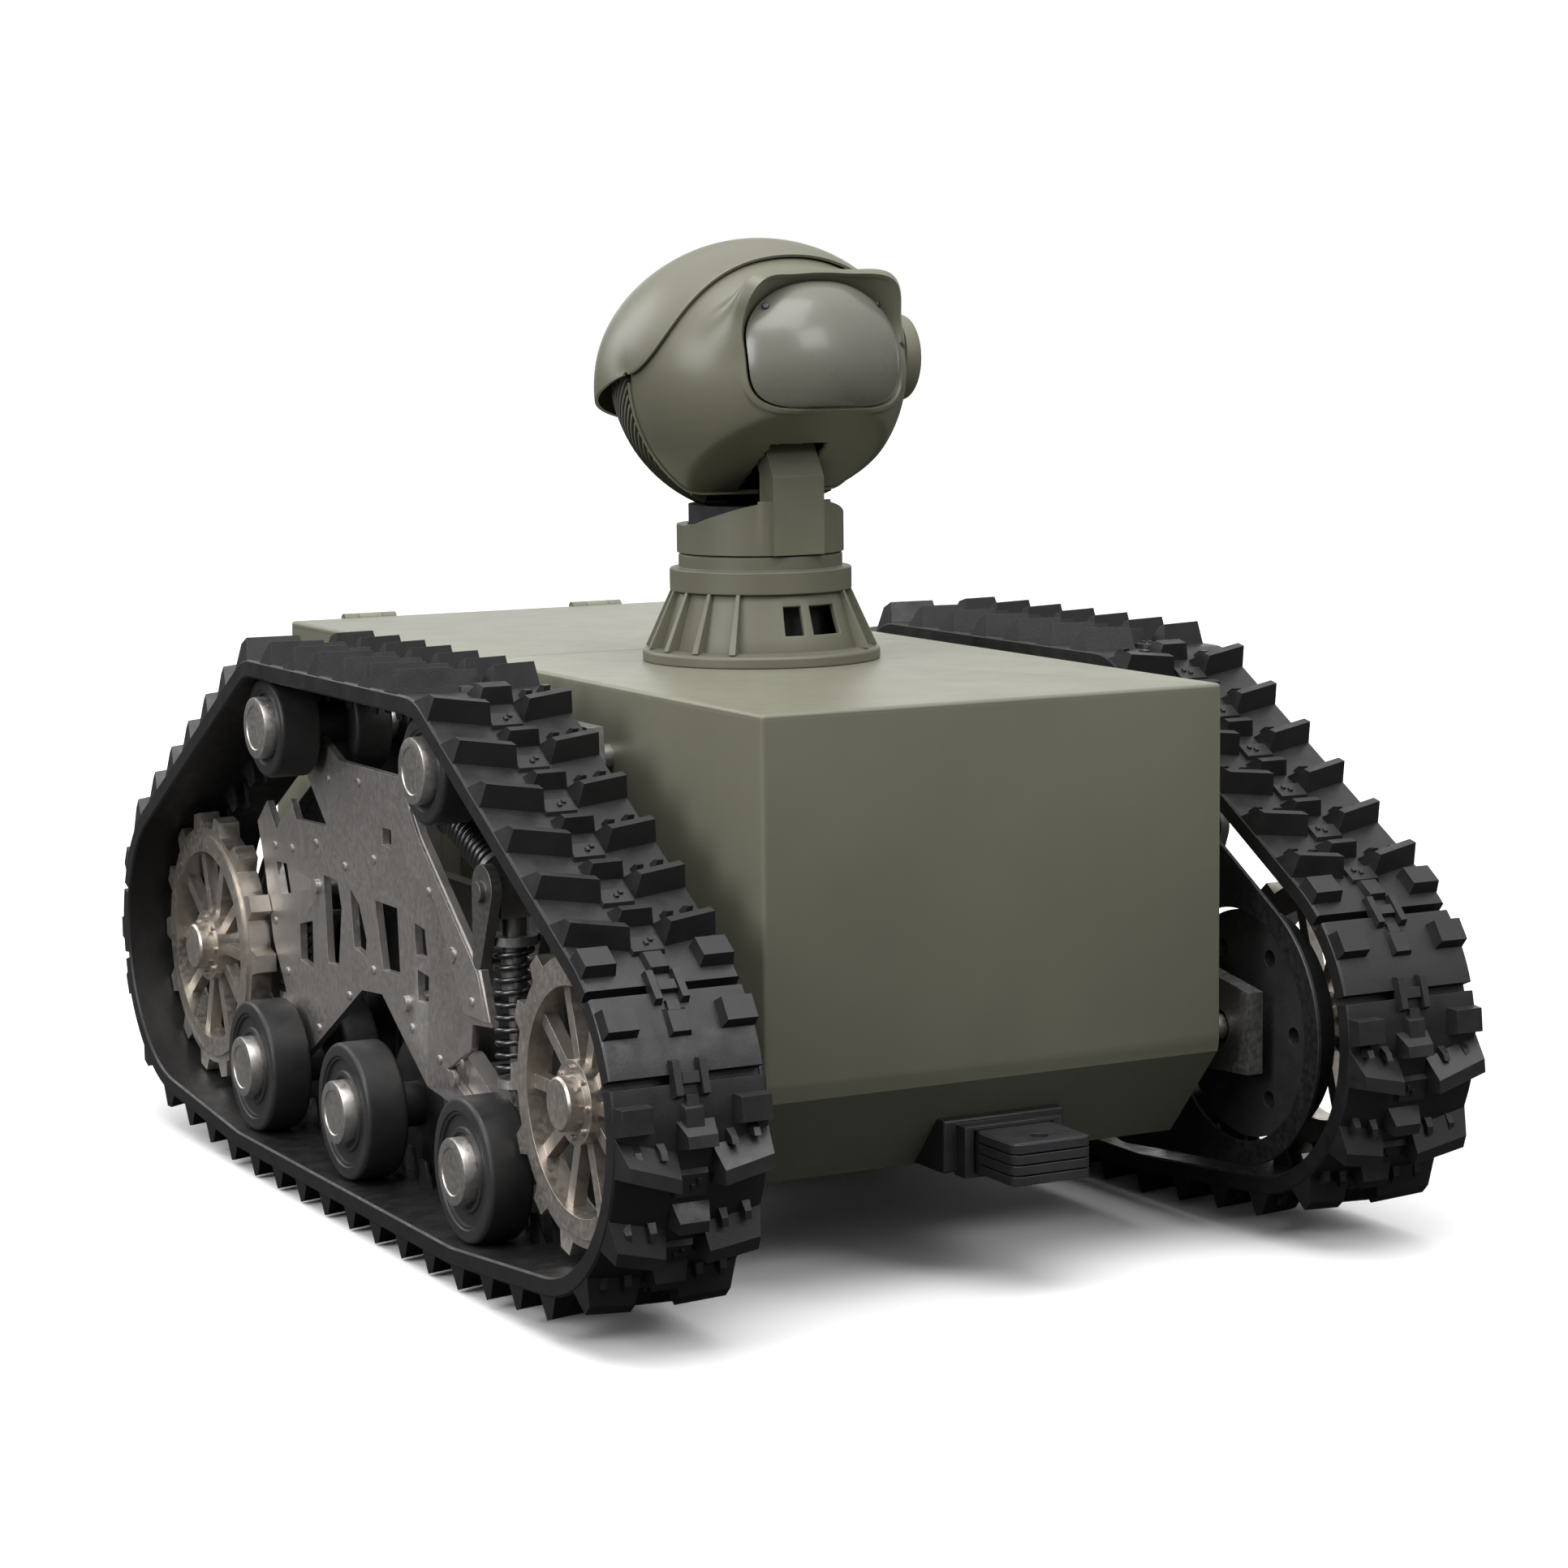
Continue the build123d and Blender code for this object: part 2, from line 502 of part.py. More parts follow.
# ---- outer side plate ---------------------------------------------------------------------
SIDE_OUTLINE = [
    (159, 341), (97, 316), (-22, 316), (-53, 280), (-152, 201), (-168, 165), (-136, 162), (-133, 145),
    (-90, 124), (-122, 110), (-105, 100), (-55, 105), (-25, 124), (25, 157), (63, 154), (204, 71),
    (218, 131), (241, 164), (257, 223), (269, 252), (247, 270), (229, 250), (197, 277), (186, 263),
    (124, 265), (170, 306),
]
SIDE_WINDOWS = [
    [(231, 226), (209, 227), (201, 206), (221, 202)],
    [(133, 228), (106, 228), (99, 208), (107, 165), (128, 164)],
    [(184, 185), (158, 191), (158, 155), (184, 158)],
    [(81, 225), (65, 216), (52, 192), (54, 180), (76, 183)],
    [(34, 223), (-7, 223), (-10, 176), (22, 175)],
    [(-38, 217), (-56, 215), (-60, 195), (-40, 195)],
    [(-42, 185), (-62, 183), (-60, 163), (-42, 163)],
    [(17, 277), (1, 277), (1, 263), (17, 265)],
]
for name, side in SIDES:
    with BuildPart() as side_plate:
        outline(side, SIDE_OUTLINE, *PLATE_X)
        for window in SIDE_WINDOWS:
            outline(side, window, PLATE_X[0] - 1, PLATE_X[1] + 1, mode=Mode.SUBTRACT)
        # raised doubler that follows the front of the plate
        outline(side, [(-24, 313), (-54, 277), (-150, 199), (-164, 168), (-126, 168), (-80, 238), (-30, 256)],
                PLATE_X[1], PLATE_X[1] + 2)
        for y, z in (*PLATE_POSTS, (ARM_PIVOT_Y, ARM_PIVOT_Z)):
            disc(side, y, z, 5.5, PLATE_X[1], PLATE_X[1] + 3)
        # clearance round the wheel sleeves that pass through the plate
        for y, z in ((ROAD_REAR_Y, ROAD_Z), (ROLLER_REAR_Y, ROLLER_Z), (ROLLER_FRONT_Y, ROLLER_Z)):
            drill(side, y, z, WHEEL_SLEEVE_R + 2, PLATE_X[0] - 1, PLATE_X[1] + 5)
    save(side_plate.part, f"{name}_side_plate")

# ---- front suspension ---------------------------------------------------------------------
ARM_EYE_Y = DAMPER_Y
ARM_EYE_Z = 101.0
DAMPER_SEAT_Z = 138.0      # lower seat of the coil spring at rest
SPRING_TOP_Z = 222.0
COIL_R = 12.0
REAR_STRUT_X = 252.0
REAR_STRUT_Y = 246.0
WIRE_R = 2.0


def coil(centre, radius, wire, bottom, top, turns):
    """A compression spring with a round wire, standing upright."""
    path = Helix(pitch=(top - bottom) / turns, height=top - bottom, radius=radius,
                 center=(centre[0], centre[1], bottom))
    with BuildPart() as spring:
        with BuildSketch(Plane(origin=path @ 0, z_dir=path % 0)):
            Circle(wire)
        sweep(path=path, is_frenet=True)
    return spring.part


for name, side in SIDES:
    with BuildPart() as swing_arm:
        with BuildSketch(side_plane(side, ARM_X[0])):
            with Locations((ARM_PIVOT_Y, ARM_PIVOT_Z)):
                Circle(17)
            with Locations((ROAD_FRONT_Y, ROAD_Z)):
                Circle(15)
            make_hull()
        extrude(amount=side * (ARM_X[1] - ARM_X[0]))
        disc(side, ROAD_FRONT_Y, ROAD_Z, AXLE_R, ARM_X[0], BLIND_BORE_X - 1)
        drill(side, ARM_PIVOT_Y, ARM_PIVOT_Z, 8 + FIT, ARM_X[0] - 1, ARM_X[1] + 1)
        block(sorted((side * (DAMPER_X - 7), side * (DAMPER_X + 7))), (ARM_EYE_Y - 8, ARM_EYE_Y + 8),
              (ARM_EYE_Z - 20, ARM_EYE_Z + 6))
    save(swing_arm.part, f"{name}_swing_arm")

    with BuildPart() as damper_body:
        with Locations((side * DAMPER_X, DAMPER_Y, 190)):
            Cylinder(8.5, DAMPER_TOP_Z - 190, align=(Align.CENTER, Align.CENTER, Align.MIN))
        with Locations((side * DAMPER_X, DAMPER_Y, SPRING_TOP_Z + 2.3)):
            Cylinder(16, 6, align=(Align.CENTER, Align.CENTER, Align.MIN))
        with Locations((side * DAMPER_X, DAMPER_Y, 190)):
            Cylinder(4 + FIT, 2 * 44, mode=Mode.SUBTRACT)
    save(damper_body.part, f"{name}_damper_body")

    with BuildPart() as damper_rod:
        with Locations((side * DAMPER_X, DAMPER_Y, ARM_EYE_Z + 7.5)):
            Cylinder(4, 215 - ARM_EYE_Z - 7.5, align=(Align.CENTER, Align.CENTER, Align.MIN))
            Cylinder(9, 9, align=(Align.CENTER, Align.CENTER, Align.MIN))
        with Locations((side * DAMPER_X, DAMPER_Y, DAMPER_SEAT_Z - 9)):
            Cylinder(12.5, 6, align=(Align.CENTER, Align.CENTER, Align.MIN))
    save(damper_rod.part, f"{name}_damper_rod")

    spring = coil((side * DAMPER_X, DAMPER_Y), COIL_R, WIRE_R, DAMPER_SEAT_Z, SPRING_TOP_Z - 0.5, 10)
    save(spring, f"{name}_coil_spring")

    # clevis with two rounded ears over the damper, bolted to a bracket on the frame
    with BuildPart() as clevis:
        for x_low, x_high in ((DAMPER_X - 24, DAMPER_X - 16.5), (DAMPER_X + 16.5, DAMPER_X + 24)):
            with BuildSketch(side_plane(side, x_low)):
                with Locations((DAMPER_Y - 4, DAMPER_TOP_Z + 20)):
                    Circle(16)
                with Locations((DAMPER_Y + 6, DAMPER_TOP_Z - 28)):
                    Circle(7)
                make_hull()
            extrude(amount=side * (x_high - x_low))
        disc(side, DAMPER_Y - 4, DAMPER_TOP_Z + 18, 9, DAMPER_X - 17, DAMPER_X + 17)
        disc(side, DAMPER_Y - 4, DAMPER_TOP_Z + 18, 7, DAMPER_X + 23, DAMPER_X + 28)
        block(sorted((side * (DAMPER_X - 14), side * (DAMPER_X + 14))), (DAMPER_Y - 12, DAMPER_Y + 12),
              (DAMPER_TOP_Z, DAMPER_TOP_Z + 14))
        disc(side, DAMPER_Y - 4, DAMPER_TOP_Z + 20, 10, FRAME_X[1], DAMPER_X - 23)
        block(sorted((side * FRAME_X[1], side * (FRAME_X[1] + 7))), (DAMPER_Y - 16, DAMPER_Y + 30),
              (DAMPER_TOP_Z - 4, DAMPER_TOP_Z + 36))
    save(clevis.part, f"{name}_clevis")

    # diagonal strut from the clevis up and back to the side plate
    strut_low = Vector(side * DAMPER_X, DAMPER_Y + 18, DAMPER_TOP_Z + 26)
    strut_high = Vector(side * DAMPER_X, -92, 300)
    strut_dir = (strut_high - strut_low).normalized()
    strut_len = (strut_high - strut_low).length
    with BuildPart() as upper_strut:
        with BuildSketch(Plane(origin=strut_low, z_dir=strut_dir)):
            Circle(7)
        extrude(amount=strut_len)
        for start in (0, strut_len - 5):
            with BuildSketch(Plane(origin=strut_low + strut_dir * start, z_dir=strut_dir)):
                Circle(15)
            extrude(amount=5)
        with BuildSketch(side_plane(side, FRAME_X[1])):
            with Locations((-92, 306)):
                Circle(9)
        extrude(amount=side * (DAMPER_X + 12 - FRAME_X[1]))
        outline(side, [(-124, 296), (-84, 292), (-84, 316), (-104, 320), (-124, 312)], FRAME_X[1],
                FRAME_X[1] + 7)
    save(upper_strut.part, f"{name}_upper_strut")

    with BuildPart() as upper_spring:
        path = Helix(pitch=(strut_len - 17) / 12, height=strut_len - 17, radius=COIL_R - 1,
                     center=tuple(strut_low + strut_dir * 8.5), direction=tuple(strut_dir))
        with BuildSketch(Plane(origin=path @ 0, z_dir=path % 0)):
            Circle(WIRE_R)
        sweep(path=path, is_frenet=True)
    save(upper_spring.part, f"{name}_upper_spring")

    with BuildPart() as rear_strut:
        with Locations((side * REAR_STRUT_X, REAR_STRUT_Y, 119)):
            Cylinder(6, 64, align=(Align.CENTER, Align.CENTER, Align.MIN))
        for z in (119, 178):
            with Locations((side * REAR_STRUT_X, REAR_STRUT_Y, z)):
                Cylinder(13, 5, align=(Align.CENTER, Align.CENTER, Align.MIN))
        for z in (120, 179):
            block(sorted((side * FRAME_X[1], side * REAR_STRUT_X)), (REAR_STRUT_Y - 5, REAR_STRUT_Y + 5),
                  (z, z + 3))
    save(rear_strut.part, f"{name}_rear_strut")

    spring = coil((side * REAR_STRUT_X, REAR_STRUT_Y), COIL_R - 2, WIRE_R, 127, 175, 6)
    save(spring, f"{name}_rear_spring")

# ---- turret -------------------------------------------------------------------------------
FLANGE_R = 85.0
FLANGE_TOP_Z = HULL_TOP_Z + 10
CONE_TOP_Z = 436.0
COLLAR_TOP_Z = 448.0
BEARING_TOP_Z = 461.0
PAN_LOW_Z = 463.0
PAN_RIM_Z = 483.0
PAN_R = 59.6
PAN_BORE_R = 52.0
COLUMN_HALF_W = 20.0
SHAFT_R = 8.0
GUSSETS = 18
GUSSET_START = -132.0      # degrees from +X; those beside the windows are left out
GUSSETS_LEFT_OUT = (1, 2, 3)
CONE_WINDOWS = ((-97.0, 13.0), (-75.0, 26.0))


def turret_plane(angle):
    """Upright plane through the turret axis whose normal points along angle, measured from +X."""
    turn = radians(angle)
    return Plane(origin=(0, TURRET_Y, 0), x_dir=(-sin(turn), cos(turn), 0), z_dir=(cos(turn), sin(turn), 0))


with BuildPart() as turret_base:
    with BuildSketch(Plane.YZ):
        with BuildLine():
            Polyline((TURRET_Y + 46, HULL_TOP_Z), (TURRET_Y + FLANGE_R, HULL_TOP_Z),
                     (TURRET_Y + FLANGE_R, FLANGE_TOP_Z - 3), (TURRET_Y + 78, FLANGE_TOP_Z),
                     (TURRET_Y + 74, FLANGE_TOP_Z), (TURRET_Y + 61, CONE_TOP_Z),
                     (TURRET_Y + 65, CONE_TOP_Z), (TURRET_Y + 65, COLLAR_TOP_Z),
                     (TURRET_Y + 58.5, COLLAR_TOP_Z), (TURRET_Y + 58.5, BEARING_TOP_Z - 1),
                     (TURRET_Y + 57.5, BEARING_TOP_Z), (TURRET_Y + 44, BEARING_TOP_Z),
                     (TURRET_Y + 44, CONE_TOP_Z - 4),
                     (TURRET_Y + 56, CONE_TOP_Z - 4), (TURRET_Y + 68, HULL_TOP_Z + 6),
                     (TURRET_Y + 46, HULL_TOP_Z + 6), close=True)
        make_face()
    revolve(axis=Axis((0, TURRET_Y, 0), (0, 0, 1)))
    for i in range(GUSSETS):
        with BuildSketch(turret_plane(GUSSET_START + i * 360 / GUSSETS - 90)) as rib:
            Polygon((66, FLANGE_TOP_Z - 1), (80, FLANGE_TOP_Z - 1), (63.5, CONE_TOP_Z + 1),
                    (57, CONE_TOP_Z + 1), align=None)
        if i not in GUSSETS_LEFT_OUT:
            extrude(rib.sketch, amount=1.6, both=True)
    for angle, width in CONE_WINDOWS:
        with BuildSketch(turret_plane(angle)):
            with Locations((0, 417)):
                RectangleRounded(width, 21, 2)
        extrude(amount=90, mode=Mode.SUBTRACT)
save(turret_base.part, "turret_base")

with BuildPart() as pan_motor:
    with Locations((0, TURRET_Y, HULL_TOP_Z - 30)):
        Cylinder(21, 72, align=(Align.CENTER, Align.CENTER, Align.MIN))
    with Locations((0, TURRET_Y, HULL_TOP_Z)):
        Cylinder(45.5, 5.5, align=(Align.CENTER, Align.CENTER, Align.MIN))
    with Locations((0, TURRET_Y, HULL_TOP_Z + 42)):
        Cylinder(6, 26, align=(Align.CENTER, Align.CENTER, Align.MIN))
save(pan_motor.part, "pan_motor")

with BuildPart() as pan_yoke:
    with Locations((0, TURRET_Y, PAN_LOW_Z)):
        Cylinder(PAN_R, 38, align=(Align.CENTER, Align.CENTER, Align.MIN))
        Cylinder(PAN_BORE_R, 38, align=(Align.CENTER, Align.CENTER, Align.MIN), mode=Mode.SUBTRACT)
    # the rim is low at the back and ramps up to the column at the front
    with BuildSketch(Plane.YZ.offset(-PAN_R - 1)):
        with BuildLine():
            Polyline((TURRET_Y - 52, 499), (TURRET_Y - 34, 492), (TURRET_Y - 12, 484.5),
                     (TURRET_Y + 4, PAN_RIM_Z), (TURRET_Y + 70, PAN_RIM_Z), (TURRET_Y + 70, 510),
                     (TURRET_Y - 52, 510), close=True)
        make_face()
    extrude(amount=2 * PAN_R + 2, mode=Mode.SUBTRACT)
    # floor with the motor shaft's bore and a spigot that runs in the bearing ring
    with Locations((0, TURRET_Y, PAN_LOW_Z)):
        Cylinder(PAN_BORE_R + 1, 4, align=(Align.CENTER, Align.CENTER, Align.MIN))
    with Locations((0, TURRET_Y, COLLAR_TOP_Z + 1)):
        Cylinder(44 - FIT, PAN_LOW_Z - COLLAR_TOP_Z, align=(Align.CENTER, Align.CENTER, Align.MIN))
        Cylinder(6 + FIT, 60, mode=Mode.SUBTRACT)
    # column and the arm inside the head
    outline(1, [(TURRET_Y - PAN_R, PAN_LOW_Z), (TURRET_Y - PAN_R, 526), (TURRET_Y - 50, 540),
                (TURRET_Y - 15, HEAD_Z + 13), (TURRET_Y + 14, HEAD_Z + 13), (TURRET_Y + 14, HEAD_Z - 13),
                (TURRET_Y - 12, HEAD_Z - 20), (TURRET_Y - 38, 520), (TURRET_Y - 38, PAN_LOW_Z)],
            -COLUMN_HALF_W, COLUMN_HALF_W)
    drill(1, TURRET_Y, HEAD_Z, SHAFT_R + 0.02, -COLUMN_HALF_W - 1, COLUMN_HALF_W + 1)
save(pan_yoke.part, "pan_yoke")

with BuildPart() as tilt_shaft:
    disc(1, TURRET_Y, HEAD_Z, SHAFT_R, -98, 98)
save(tilt_shaft.part, "tilt_shaft")


def head_face(grow):
    """Half section of the head, offset outwards by grow, closed along the turret axis."""
    points = []
    for step in range(HEAD_STEPS + 1):
        angle = radians(-90 + 180 * step / HEAD_STEPS)
        half_height = HEAD_UP_R if angle > 0 else HEAD_DOWN_R
        points.append((TURRET_Y + (HEAD_R + grow) * cos(angle), HEAD_Z + (half_height + grow) * sin(angle)))
    with BuildSketch(Plane.YZ, mode=Mode.PRIVATE) as half:
        with BuildLine():
            Spline(*points, tangents=[(1, 0), (-1, 0)])
            Line(points[-1], points[0])
        make_face()
    return half.sketch


def head_skin(inner, outer):
    """Add the egg-shaped skin of the head between two offsets of its outline."""
    revolve(head_face(outer) - head_face(inner), axis=Axis((0, TURRET_Y, 0), (0, 0, 1)))


WINDOW_HALF_W = 62.0
WINDOW_LOW = -14.0
WINDOW_HIGH = 66.0
NECK_CUT = 87.0            # the skin ends this far below the tilt axis
HOOD_ANGLE = 60.0          # elevation of the hood's front edge
HOOD_REAR_Z = HEAD_Z - 33

with BuildPart() as head_shell:
    head_skin(-HEAD_WALL, 0)
    block((-120, 120), (TURRET_Y - 120, TURRET_Y + 120), (HEAD_Z - 120, HEAD_Z - NECK_CUT), mode=Mode.SUBTRACT)
    # slot that clears the column as the head tilts
    block((-COLUMN_HALF_W - 3, COLUMN_HALF_W + 3), (TURRET_Y - 80, TURRET_Y), (HEAD_Z - 120, HEAD_Z - 58),
          mode=Mode.SUBTRACT)
    # opening behind the window
    with BuildSketch(Plane.XZ.offset(-TURRET_Y)):
        with Locations((0, HEAD_Z + (WINDOW_LOW + WINDOW_HIGH) / 2)):
            RectangleRounded(2 * WINDOW_HALF_W - 10, WINDOW_HIGH - WINDOW_LOW - 10, 28)
    extrude(amount=120, mode=Mode.SUBTRACT)
    # openings behind the rear grille
    block((-40, 40), (TURRET_Y + 60, TURRET_Y + 110), (HEAD_Z - 75, HEAD_Z - 40), mode=Mode.SUBTRACT)
    # bosses that run on the tilt shaft
    for sign in (-1, 1):
        disc(sign, TURRET_Y, HEAD_Z, 14, 80, HEAD_R - 2)
        drill(sign, TURRET_Y, HEAD_Z, SHAFT_R + FIT, 78, 98.5)
save(head_shell.part, "head_shell")

with BuildPart() as head_hood:
    head_skin(0.3, 4.0)
    # everything in front of the hood's front edge and below its rear edge is cut away
    reach = 150
    front_edge = (TURRET_Y - reach * cos(radians(HOOD_ANGLE)), HEAD_Z + reach * sin(radians(HOOD_ANGLE)))
    outline(1, [(TURRET_Y, HEAD_Z), front_edge, (TURRET_Y - reach, HEAD_Z + reach),
                (TURRET_Y - reach, HEAD_Z - reach), (TURRET_Y + reach, HEAD_Z - reach),
                (TURRET_Y + reach, HOOD_REAR_Z),
                (TURRET_Y + (HEAD_Z - HOOD_REAR_Z) / tan(radians(HOOD_ANGLE)), HOOD_REAR_Z)],
            -130, 130, mode=Mode.SUBTRACT)
    drill(1, TURRET_Y, HEAD_Z + 8, 33, 60, 130)
save(head_hood.part, "head_hood")

with BuildPart() as camera_window:
    head_skin(0.3, 3.0)
    with BuildSketch(Plane.XZ.offset(-TURRET_Y)):
        with Locations((0, HEAD_Z + (WINDOW_LOW + WINDOW_HIGH) / 2)):
            RectangleRounded(2 * WINDOW_HALF_W, WINDOW_HIGH - WINDOW_LOW, 32)
    extrude(amount=150, mode=Mode.INTERSECT)
save(camera_window.part, "camera_window")

with BuildPart() as camera_module:
    block((-34, 34), (TURRET_Y - 60, TURRET_Y - 20), (HEAD_Z + 20, HEAD_Z + 62))
    with BuildSketch(Plane.XZ.offset(-TURRET_Y + 58)):
        with Locations((-14, HEAD_Z + 42)):
            Circle(15)
        with Locations((18, HEAD_Z + 42)):
            Circle(9)
    extrude(amount=14)
    for sign in (-1, 1):
        block(sorted((sign * 33, sign * 78)), (TURRET_Y - 40, TURRET_Y - 36), (HEAD_Z + 30, HEAD_Z + 44))
save(camera_module.part, "camera_module")

with BuildPart() as side_pod:
    disc(1, TURRET_Y, HEAD_Z + 8, 32, 97, 119)
    fillet(side_pod.faces().sort_by(Axis.X)[-1].edges(), 6)
    revolve(head_face(0.3), axis=Axis((0, TURRET_Y, 0), (0, 0, 1)), mode=Mode.SUBTRACT)
save(side_pod.part, "side_pod")

GRILLE_SLATS = 11
with BuildPart() as rear_grille:
    head_skin(0.3, 3.0)
    block((-60, 60), (TURRET_Y + 20, TURRET_Y + 130), (HEAD_Z - 82, HEAD_Z - 35), mode=Mode.INTERSECT)
    for i in range(GRILLE_SLATS):
        x = (i - (GRILLE_SLATS - 1) / 2) * 9.5
        block((x - 2.2, x + 2.2), (TURRET_Y + 40, TURRET_Y + 130), (HEAD_Z - 76, HEAD_Z - 42),
              mode=Mode.SUBTRACT)
save(rear_grille.part, "rear_grille")

print("belt length", round(BELT_LENGTH, 1), "links", LINKS, "pitch", round(PITCH, 2))
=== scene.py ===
"""Looks of the tracked robot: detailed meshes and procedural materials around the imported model.

Lengths are metres in the row frame: +Z up, -Y the direction of travel, +X the vehicle's left.
"""

import json
from math import acos, atan2, cos, exp, hypot, pi, radians, sin, sqrt

import bmesh
import bpy
from mathutils import Matrix, Vector

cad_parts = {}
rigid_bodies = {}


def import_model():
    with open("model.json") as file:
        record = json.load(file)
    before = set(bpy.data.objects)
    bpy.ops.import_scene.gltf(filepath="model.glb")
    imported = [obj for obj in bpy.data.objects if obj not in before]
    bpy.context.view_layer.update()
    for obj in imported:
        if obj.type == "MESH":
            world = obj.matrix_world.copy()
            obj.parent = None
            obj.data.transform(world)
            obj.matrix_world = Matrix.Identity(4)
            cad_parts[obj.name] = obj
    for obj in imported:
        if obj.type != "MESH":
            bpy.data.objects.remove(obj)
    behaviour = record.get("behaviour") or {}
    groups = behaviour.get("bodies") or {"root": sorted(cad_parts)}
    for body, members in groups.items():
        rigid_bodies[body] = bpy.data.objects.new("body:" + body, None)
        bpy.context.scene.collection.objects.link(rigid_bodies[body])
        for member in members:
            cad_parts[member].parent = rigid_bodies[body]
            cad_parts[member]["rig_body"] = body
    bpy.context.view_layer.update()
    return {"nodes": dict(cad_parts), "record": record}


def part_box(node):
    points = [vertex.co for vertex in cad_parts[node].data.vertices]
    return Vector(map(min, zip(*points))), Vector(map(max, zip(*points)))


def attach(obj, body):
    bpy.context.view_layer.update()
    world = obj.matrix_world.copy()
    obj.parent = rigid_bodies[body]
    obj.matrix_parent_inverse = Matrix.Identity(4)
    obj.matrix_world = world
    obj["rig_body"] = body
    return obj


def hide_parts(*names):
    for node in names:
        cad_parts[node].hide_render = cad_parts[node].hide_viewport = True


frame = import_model()
NODES = frame["nodes"]
MM = 0.001
SIDES = (("left", 1), ("right", -1))

# ---- places read from the frame ----


def centre(node):
    """Middle of a CAD node's box."""
    low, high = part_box(node)
    return (low + high) / 2


BELT_LOW, BELT_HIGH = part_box("left_track_belt")
TRACK_IN_X = BELT_LOW.x
TRACK_OUT_X = BELT_HIGH.x
BELT_T = 13 * MM
HORN_H = 20 * MM
WHEEL_GAP = 0.4 * MM
SPROCKET_BELT_R = 105 * MM
ROAD_R = 49 * MM
ROLLER_R = 37 * MM
LUG_PITCH = 47.3 * MM
HEAD_C = Vector((0, centre("pan_yoke").y, centre("tilt_shaft").z))


# ---- materials ----
class Shader:
    """Small helper that wires up one Principled material."""

    def __init__(self, name, colour, rough, metallic=0.0, **sockets):
        """Start from plain values; sockets sets further inputs by name, with _ for a space."""
        self.material = bpy.data.materials.new(name)
        self.material.use_nodes = True
        self.tree = self.material.node_tree
        self.bsdf = self.tree.nodes["Principled BSDF"]
        self.bsdf.inputs["Base Color"].default_value = (*colour, 1)
        self.bsdf.inputs["Roughness"].default_value = rough
        self.bsdf.inputs["Metallic"].default_value = metallic
        for socket, value in sockets.items():
            self.bsdf.inputs[socket.replace("_", " ")].default_value = value
        self.coords = self.node("ShaderNodeTexCoord").outputs["Object"]

    def node(self, kind, **values):
        """Add a node and set its properties."""
        made = self.tree.nodes.new(kind)
        for key, value in values.items():
            setattr(made, key, value)
        return made

    def link(self, source, target):
        """Join an output to an input."""
        self.tree.links.new(source, target)

    def noise(self, scale, detail=4.0, rough=0.55, stretch=(1, 1, 1)):
        """Noise value in object space, stretched along the axes."""
        mapping = self.node("ShaderNodeMapping")
        mapping.inputs["Scale"].default_value = stretch
        self.link(self.coords, mapping.inputs["Vector"])
        noise = self.node("ShaderNodeTexNoise")
        noise.inputs["Scale"].default_value = scale
        noise.inputs["Detail"].default_value = detail
        noise.inputs["Roughness"].default_value = rough
        self.link(mapping.outputs["Vector"], noise.inputs["Vector"])
        return noise.outputs["Fac"]

    def ramp(self, value, low, high, from_value=0.0, to_value=1.0):
        """Map value from low..high to from_value..to_value, clamped."""
        ramp = self.node("ShaderNodeMapRange")
        for socket, number in (("From Min", low), ("From Max", high), ("To Min", from_value),
                               ("To Max", to_value)):
            ramp.inputs[socket].default_value = number
        self.link(value, ramp.inputs["Value"])
        return ramp.outputs["Result"]

    def mix(self, factor, first, second):
        """Mix two colours; each is a socket or a colour."""
        mix = self.node("ShaderNodeMix", data_type="RGBA")
        self.link(factor, mix.inputs["Factor"])
        for socket, value in ((mix.inputs[6], first), (mix.inputs[7], second)):
            if isinstance(value, tuple):
                socket.default_value = (*value, 1)
            else:
                self.link(value, socket)
        return mix.outputs[2]

    def maths(self, operation, first, second):
        """Result of an operation on two values; each is a socket or a number."""
        node = self.node("ShaderNodeMath", operation=operation)
        for socket, value in zip(node.inputs, (first, second)):
            if isinstance(value, (int, float)):
                socket.default_value = value
            else:
                self.link(value, socket)
        return node.outputs[0]

    def edges(self, low=0.53, high=0.62):
        """Rises to 1 on worn convex edges."""
        geometry = self.node("ShaderNodeNewGeometry")
        return self.ramp(geometry.outputs["Pointiness"], low, high)

    def bump(self, height, strength, distance):
        """Tilt the surface's normals by a height."""
        bump = self.node("ShaderNodeBump")
        bump.inputs["Strength"].default_value = strength
        bump.inputs["Distance"].default_value = distance
        self.link(height, bump.inputs["Height"])
        self.link(bump.outputs["Normal"], self.bsdf.inputs["Normal"])

    def colour(self, socket):
        """Drive the base colour."""
        self.link(socket, self.bsdf.inputs["Base Color"])

    def roughness(self, socket):
        """Drive the roughness."""
        self.link(socket, self.bsdf.inputs["Roughness"])


def tint(colour, factor):
    """The same colour, lighter or darker."""
    return tuple(min(1.0, channel * factor) for channel in colour)


